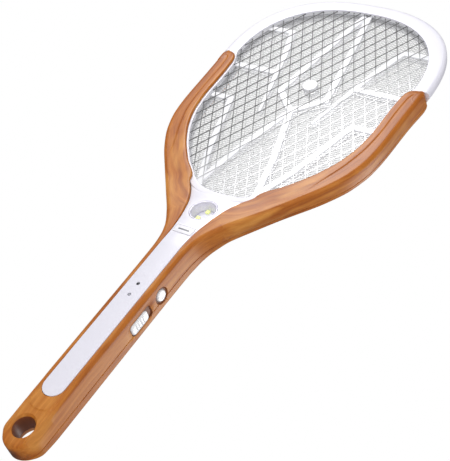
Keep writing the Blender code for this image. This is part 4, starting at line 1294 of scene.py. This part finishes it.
def add_world(seen, cast, mirror):
    """White behind the object, a softer white for its light and a dim one for reflections."""
    world = bpy.data.worlds.new("studio")
    bpy.context.scene.world = world
    world.use_nodes = True
    nodes, links = world.node_tree.nodes, world.node_tree.links
    shown = nodes["Background"]
    shown.inputs["Color"].default_value = (1, 1, 1, 1)
    shown.inputs["Strength"].default_value = seen
    lit = nodes.new("ShaderNodeBackground")
    lit.inputs["Color"].default_value = (0.97, 0.975, 1.0, 1)
    lit.inputs["Strength"].default_value = cast
    path = nodes.new("ShaderNodeLightPath")
    mirrored = nodes.new("ShaderNodeBackground")
    mirrored.inputs["Color"].default_value = (0.97, 0.975, 1.0, 1)
    mirrored.inputs["Strength"].default_value = mirror
    bounce = nodes.new("ShaderNodeMixShader")
    links.new(path.outputs["Is Glossy Ray"], bounce.inputs[0])
    links.new(lit.outputs[0], bounce.inputs[1])
    links.new(mirrored.outputs[0], bounce.inputs[2])
    mix = nodes.new("ShaderNodeMixShader")
    links.new(path.outputs["Is Camera Ray"], mix.inputs[0])
    links.new(bounce.outputs[0], mix.inputs[1])
    links.new(shown.outputs[0], mix.inputs[2])
    links.new(mix.outputs[0], nodes["World Output"].inputs["Surface"])


def add_floor():
    """A pale floor under the tail, see-through from below, where the camera stands."""
    bm = bmesh.new()
    bmesh.ops.create_grid(bm, x_segments=1, y_segments=1, size=3.0)
    floor = made("floor", bm)
    floor.location = (0, 0, -0.0005)
    f = Finish("floor", 0.7)
    tone = f.noise(f.place(scale=(1 / 400,) * 3), 1.0, 2.0)
    f.color(f.mix(f.scaled(tone, 0.0, 1.0), (0.90, 0.90, 0.91), (0.86, 0.86, 0.87)))
    geometry = f.node("ShaderNodeNewGeometry")
    clear = f.node("ShaderNodeBsdfTransparent")
    mix = f.node("ShaderNodeMixShader")
    f.link(geometry.outputs["Backfacing"], mix.inputs[0])
    f.link(f.shader.outputs[0], mix.inputs[1])
    f.link(clear.outputs[0], mix.inputs[2])
    f.link(mix.outputs[0], f.nodes["Material Output"].inputs["Surface"])
    floor.data.materials.append(f.material)
    floor.visible_glossy = False
    floor.visible_shadow = False


# Build

WOOD = wood_finish()
RECESS_SHADE_BROWN = recess_shade_finish()
WHITE = plastic_finish("white_plastic", (0.875, 0.86, 0.93), (0.835, 0.82, 0.895))
BUTTON_WHITE = plastic_finish("button_white", (0.95, 0.95, 0.96), (0.90, 0.91, 0.92), 0.3, 0.3)
DARK = plastic_finish("dark_plastic", (0.022, 0.022, 0.026), (0.04, 0.04, 0.044), 0.4)
PALE = label_finish()
GREY = plastic_finish("grey_lens", (0.42, 0.42, 0.46), (0.34, 0.34, 0.38), 0.25, 0.5)
GRID = wire_finish("grid_metal", (0.11, 0.11, 0.11), (0.88, 0.88, 0.89))
# The rear grid is the same wire painted paler, so that it shows less through the mesh; it also carries the
# painted highlight.
GRID_BEHIND = wire_finish("grid_metal_behind", (0.55, 0.55, 0.55), (0.80, 0.80, 0.80))
MESH = metal_finish("mesh_metal", (0.64, 0.64, 0.64), (0.56, 0.56, 0.56), 0.45, 0.1)
RIB_WHITE = plastic_finish("rib_white", (0.95, 0.95, 0.97), (0.91, 0.91, 0.94))
CHROME = metal_finish("chrome", (0.88, 0.86, 0.95), (0.78, 0.76, 0.86), 0.3, 0.25, (1, 1, 1))
STEEL = metal_finish("steel", (0.55, 0.55, 0.57), (0.42, 0.42, 0.44), 0.34)
LENS = lens_finish()
CHIP = chip_finish()
BOARD = board_finish()
TRANSFORMER = plastic_finish("transformer_tape", (0.72, 0.56, 0.08), (0.6, 0.44, 0.05), 0.45)
CAPACITOR = plastic_finish("capacitor_resin", (0.33, 0.10, 0.05), (0.24, 0.07, 0.035), 0.3, 0.4)
WRAP = plastic_finish("battery_wrap", (0.05, 0.16, 0.42), (0.04, 0.12, 0.34), 0.35, 0.4)
LEAD_RED = plastic_finish("lead_red", (0.55, 0.03, 0.02), (0.42, 0.02, 0.015), 0.45)
LEAD_BLACK = plastic_finish("lead_black", (0.02, 0.02, 0.02), (0.035, 0.035, 0.035), 0.45)

LAMP_WHITE = plastic_finish("lamp_board_white", (0.86, 0.84, 0.95), (0.78, 0.76, 0.90), 0.4)

KEPT = {
    "battery": WRAP, "battery_lead_black": LEAD_BLACK, "battery_lead_red": LEAD_RED,
    "grid_lead_mesh": LEAD_RED, "grid_lead_outer": LEAD_BLACK, "lamp_lead": LEAD_RED,
    "high_voltage_capacitor": CAPACITOR, "main_board": BOARD, "lamp_board": LAMP_WHITE,
    "step_up_transformer": TRANSFORMER, "tact_switch": DARK, "tact_plunger": DARK,
    "slide_switch": STEEL, "slide_lever": DARK, "charging_socket": STEEL,
}


def add_grain(obj):
    """Stores, at each point, its place across, into and along the casing, for the wood print."""
    places = np.arange(0, THROAT_END + ARM_TIP_Z - ARM_START_Z + 1, 2.0)
    middles, along = [], [0.0]
    for q in places:
        inner, outer = station(q)
        lean = 0.0 if q < THROAT_START else float(ease((q - THROAT_START) / 90)) * 0.5
        middles.append(
            np.array(inner) * (1 - lean) + np.array(outer) * lean if q > THROAT_START else np.array((0.0, q))
        )
    middles = np.array(middles)
    steps = np.sqrt((np.diff(middles, axis=0) ** 2).sum(1))
    along = np.concatenate([[0.0], np.cumsum(steps)])
    count = len(obj.data.vertices)
    spots = np.zeros(count * 3, np.float32)
    obj.data.vertices.foreach_get("co", spots)
    spots = spots.reshape(-1, 3) / MM
    plan = np.abs(spots[:, [0]]), spots[:, [2]]
    plan = np.concatenate(plan, axis=1)
    start, reach = middles[:-1], middles[1:] - middles[:-1]
    length = (reach**2).sum(1)
    best = np.full(count, 1e18)
    grain = np.zeros((count, 3), np.float32)
    for i in range(len(start)):
        to = plan - start[i]
        t = np.clip((to @ reach[i]) / length[i], 0, 1)
        off = to - t[:, None] * reach[i]
        far = (off**2).sum(1)
        closer = far < best
        best[closer] = far[closer]
        sign = np.sign(to[:, 0] * reach[i][1] - to[:, 1] * reach[i][0])
        grain[closer, 0] = (sign * np.sqrt(far))[closer]
        grain[closer, 2] = (along[i] + t * steps[i])[closer]
    grain[:, 1] = spots[:, 1]
    held = obj.data.attributes.new("grain", "FLOAT_VECTOR", "POINT")
    held.data.foreach_set("vector", grain.ravel())


def mend(obj):
    """Welds the slivers that the cuts leave, so that the piece stays one closed surface."""
    bm = bmesh.new()
    bm.from_mesh(obj.data)
    bmesh.ops.remove_doubles(bm, verts=bm.verts, dist=0.003 * MM)
    bmesh.ops.dissolve_degenerate(bm, dist=0.003 * MM, edges=bm.edges)
    doubled = [e for e in bm.edges if len(e.link_faces) > 2]
    thin = {f for e in doubled for f in e.link_faces if f.calc_area() < 1e-12}
    bmesh.ops.delete(bm, geom=list(thin), context="FACES")
    bmesh.ops.delete(bm, geom=[e for e in bm.edges if not e.link_faces], context="EDGES")
    bmesh.ops.holes_fill(bm, edges=[e for e in bm.edges if len(e.link_faces) == 1], sides=0)
    bmesh.ops.delete(bm, geom=[v for v in bm.verts if not v.link_faces], context="VERTS")
    left = sum(len(e.link_faces) != 2 for e in bm.edges)
    print("open edges left on", obj.name, left)
    bm.to_mesh(obj.data)
    bm.free()


def paint_recess_shade(shell):
    """Paints shade on the walls of the eye and of the button and knob pockets, with the dark brown finish."""
    shell.data.materials.append(RECESS_SHADE_BROWN)
    recess_shade_slot = len(shell.data.materials) - 1
    for face in shell.data.polygons:
        x, y, z = face.center / MM
        out = face.normal
        from_eye = Vector((x, 0, z - HANG_HOLE_Z))
        in_eye = from_eye.length < HANG_HOLE_RADIUS + 0.35 and abs(out.y) < 0.6 and out.dot(from_eye) < 0
        by_button = x > 8 and math.hypot(y - CONTROL_Y, z - BUTTON_Z) < BUTTON_POCKET + 0.2
        low, high = KNOB_Z - KNOB_LONG / 2 - 0.8, KNOB_Z + KNOB_LONG / 2 + KNOB_TRAVEL + 0.8
        by_knob = x > 8 and abs(y - CONTROL_Y) < KNOB_WIDE / 2 + 0.7 and low < z < high
        pocket = (by_button or by_knob) and (x < POCKET_X + 1.1 and x < half_width(z) - 0.12)
        # Painted shade on the eye's walls and the pocket walls.
        if in_eye or pocket:
            face.material_index = recess_shade_slot


def build_casing():
    for shell, node in ((front_shell(), "front_shell"), (rear_shell(), "rear_shell")):
        show(shell, WOOD, "casing", node)
        mend(shell)
        add_grain(shell)
        paint_recess_shade(shell)


def whiten(piece, count):
    """Gives the rim of a grid or mesh, its first faces, the white of the ribs: painted light, so that the
    groove under the frame doesn't read as shaded.
    """
    piece.data.materials.append(RIB_WHITE)
    for i in range(count):
        piece.data.polygons[i].material_index = 1


def build_head():
    show(front_frame(), WHITE, "casing", "front_frame")
    show(ring_solid("head_frame_rear", 1), WHITE, "casing", "rear_frame")
    wires = {"front": GRID, "rear": GRID_BEHIND}
    for name, side in (("front", -1), ("rear", 1)):
        grid, rim_faces = guard_grid("grid_" + name, side)
        ribs, pad = rib_bracket("ribs_" + name, side), centre_spacer("spacer_" + name, side)
        show(grid, wires[name], "casing", name + "_guard_grid")
        whiten(grid, rim_faces)
        show(ribs, RIB_WHITE, "casing", name + "_rib_bracket")
        show(pad, RIB_WHITE, "casing", name + "_centre_spacer")
        for piece in (grid, ribs, pad):
            piece.visible_shadow = False
    woven, rim_faces = woven_mesh("mesh_inner")
    show(woven, MESH, "casing", "inner_mesh")
    whiten(woven, rim_faces)
    woven.visible_shadow = False


def build_lamp():
    rim, deep = LAMP_RADIUS, LAMP_DEPTH
    cup = turned("lamp_cup", rounded_profile([
        (8.4, -deep + 1.0), (rim - 0.7, -1.6), (rim - 0.6, -0.1), (rim, -0.1), (rim, -1.8),
        (9.6, -deep + 0.8), (9.6, -deep - 1.4),
        (8.4, -deep - 1.4), (8.4, -deep + 1.0),
    ], 0.2))
    lens = turned("lamp_window_lens", rounded_profile([
        (0, -0.45), (4, -0.5), (rim - 1.4, -0.7), (rim - 1.1, -1.0), (rim - 1.4, -1.5), (0, -1.5),
    ], 0.3))
    for piece, finish, node, slot in (
        (cup, CHROME, "lamp_reflector", "chrome"), (lens, LENS, "lamp_lens", "clear_lens"),
    ):
        piece.matrix_world = lamp_matrix()
        show(piece, finish, "casing", node)
    for label in ("upper", "left", "right"):
        low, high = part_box("lamp_led_" + label)
        chip = rounded_box("led_chip_" + label, (-1.6, -1.6, -0.75), (1.6, 1.6, 0.75), 0.35)
        middle = (low + high) / 2
        chip.matrix_world = Matrix.Translation(middle) @ lamp_matrix().to_3x3().to_4x4()
        show(chip, CHIP, "casing", "lamp_led_" + label)


def build_controls():
    button = turned("push_button", [
        (0, 5.0), (1.8, 5.05), (3.0, 5.25), (3.7, 5.3), (4.2, 5.15), (4.6, 4.7), (BUTTON_RADIUS, 4.2),
        (BUTTON_RADIUS, 2.3), (5.9, 2.3), (5.9, 0.8), (0, 0.8),
    ])
    button.matrix_world = Matrix.Translation((9.0 * MM, CONTROL_Y * MM, BUTTON_Z * MM)) @ AXIS_TURN["X"]
    show(button, BUTTON_WHITE, "zap_button", "zap_button")

    half = KNOB_LONG / 2
    sections = []
    base, top = POCKET_X + GAP, 14.55
    for x, shrink in ((base, 0.0), (top - 0.9, 0.0), (top - 0.45, 0.12), (top - 0.15, 0.4), (top, 0.9)):
        ring = []
        for cy, cz, start in ((1, 1, 0), (-1, 1, 90), (-1, -1, 180), (1, -1, 270)):
            for k in range(8):
                turn = math.radians(start + 90 * k / 7)
                y = CONTROL_Y + cy * (KNOB_WIDE / 2 - 3.2) + (3.2 - shrink) * math.cos(turn)
                z = KNOB_Z + cz * (half - 3.2) + (3.2 - shrink) * math.sin(turn)
                ring.append((x, y, z))
        sections.append(ring)
    parts = [loft("knob_body", sections)]
    stem = rounded_box(
        "knob_stem", (10.3, CONTROL_Y - 2, KNOB_Z - 4), (POCKET_X + 1, CONTROL_Y + 2, KNOB_Z + 4), 0.3,
    )
    bpy.context.view_layer.update()
    parts.append(stem)
    for k in range(4):
        z = KNOB_Z + (k - 1.5) * 2.7
        ridge = rounded_box(
            "knob_ridge_%d" % k, (14.0, CONTROL_Y - 3.3, z - 0.6), (15.1, CONTROL_Y + 3.3, z + 0.6), 0.4,
        )
        parts.append(ridge)
    bpy.context.view_layer.update()
    show(bodies_of("slide_switch_knob", parts), BUTTON_WHITE, "slide_knob", "slide_knob")


def build_small_pieces():
    for node, z, finish, slot in (
        ("power_indicator", POWER_DOT_Z, DARK, "dark_plastic"),
        ("charge_indicator", CHARGE_DOT_Z, GREY, "grey_lens"),
    ):
        dot = turned(node + "_dome", [
            (0, 0.0), (0.5, -0.02), (0.9, -0.14), (DOT_RADIUS, -0.4), (DOT_RADIUS, -5.2), (0, -5.2),
        ], 32)
        dot.matrix_world = Matrix.Translation(Vector((0, STRIP_Y, z)) * MM) @ AXIS_TURN["Y"]
        show(dot, finish, "casing", node)
    plate = rounded_box("label_plate", (-8.5, -0.3, -3.75), (8.5, 0.3, 3.75), 0.28)
    set_on_throat(plate, PLATE_Z)
    show(plate, PALE, "casing", "name_plate")
    for name, (x, z, rear) in screw_spots().items():
        head = turned(name + "_head", rounded_profile([
            (0, 0.0), (1.5, -0.05), (SCREW_HEAD, -0.6), (SCREW_HEAD, -1.2), (SCREW_SHANK, -1.2),
            (SCREW_SHANK, -8.8), (0, -9.6),
        ], 0.15), 32)
        for turn in (0, 90):
            slot = rounded_box(name + "_slot_%d" % turn, (-1.25, -0.24, -0.65), (1.25, 0.24, 0.6), 0)
            slot.rotation_euler = (0, 0, math.radians(turn + 20))
            slot.location = (0, 0, -0.025 * MM)
            cut(head, slot)
        applied(head)
        head.matrix_world = (
            Matrix.Translation(Vector((x, rear, z)) * MM) @ Matrix.Rotation(-math.pi / 2, 4, "X")
        )
        show(head, STEEL, "casing", name)


def keep_inner_nodes():
    for node, finish in KEPT.items():
        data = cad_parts[node].data
        data.materials.clear()
        data.materials.append(finish)


build_casing()
build_head()
build_lamp()
build_controls()
build_small_pieces()
keep_inner_nodes()
for cutter in CUTTERS:
    bpy.data.objects.remove(cutter)

add_camera()
add_world(1.0, 0.62, 0.25)
add_floor()
add_area("key", (-0.50, -0.88, 1.05), (0, 0, 0.3), 0.34, 4.5)
fill = add_area("fill", (-0.6, -1.2, 0.1), (0, 0, 0.25), 1.0, 2.0)
fill.visible_glossy = False
sheen = add_area("sheen", (-0.543, -0.86, 1.10), (0, 0, 0.35), 0.3, 6.0)
sheen.visible_diffuse = False
side_sheen = add_area("side_sheen", (0.9, 1.15, 0.8), (0, 0, 0.2), 0.7, 8.0)
side_sheen.visible_diffuse = False
add_area("side", (1.3, -0.4, 0.1), (0, 0, 0.2), 1.0, 2.4)
add_area("under", (0.3, -0.9, 0.02), (0, 0, 0.45), 0.8, 1.5)
bpy.context.scene.view_settings.view_transform = "Standard"
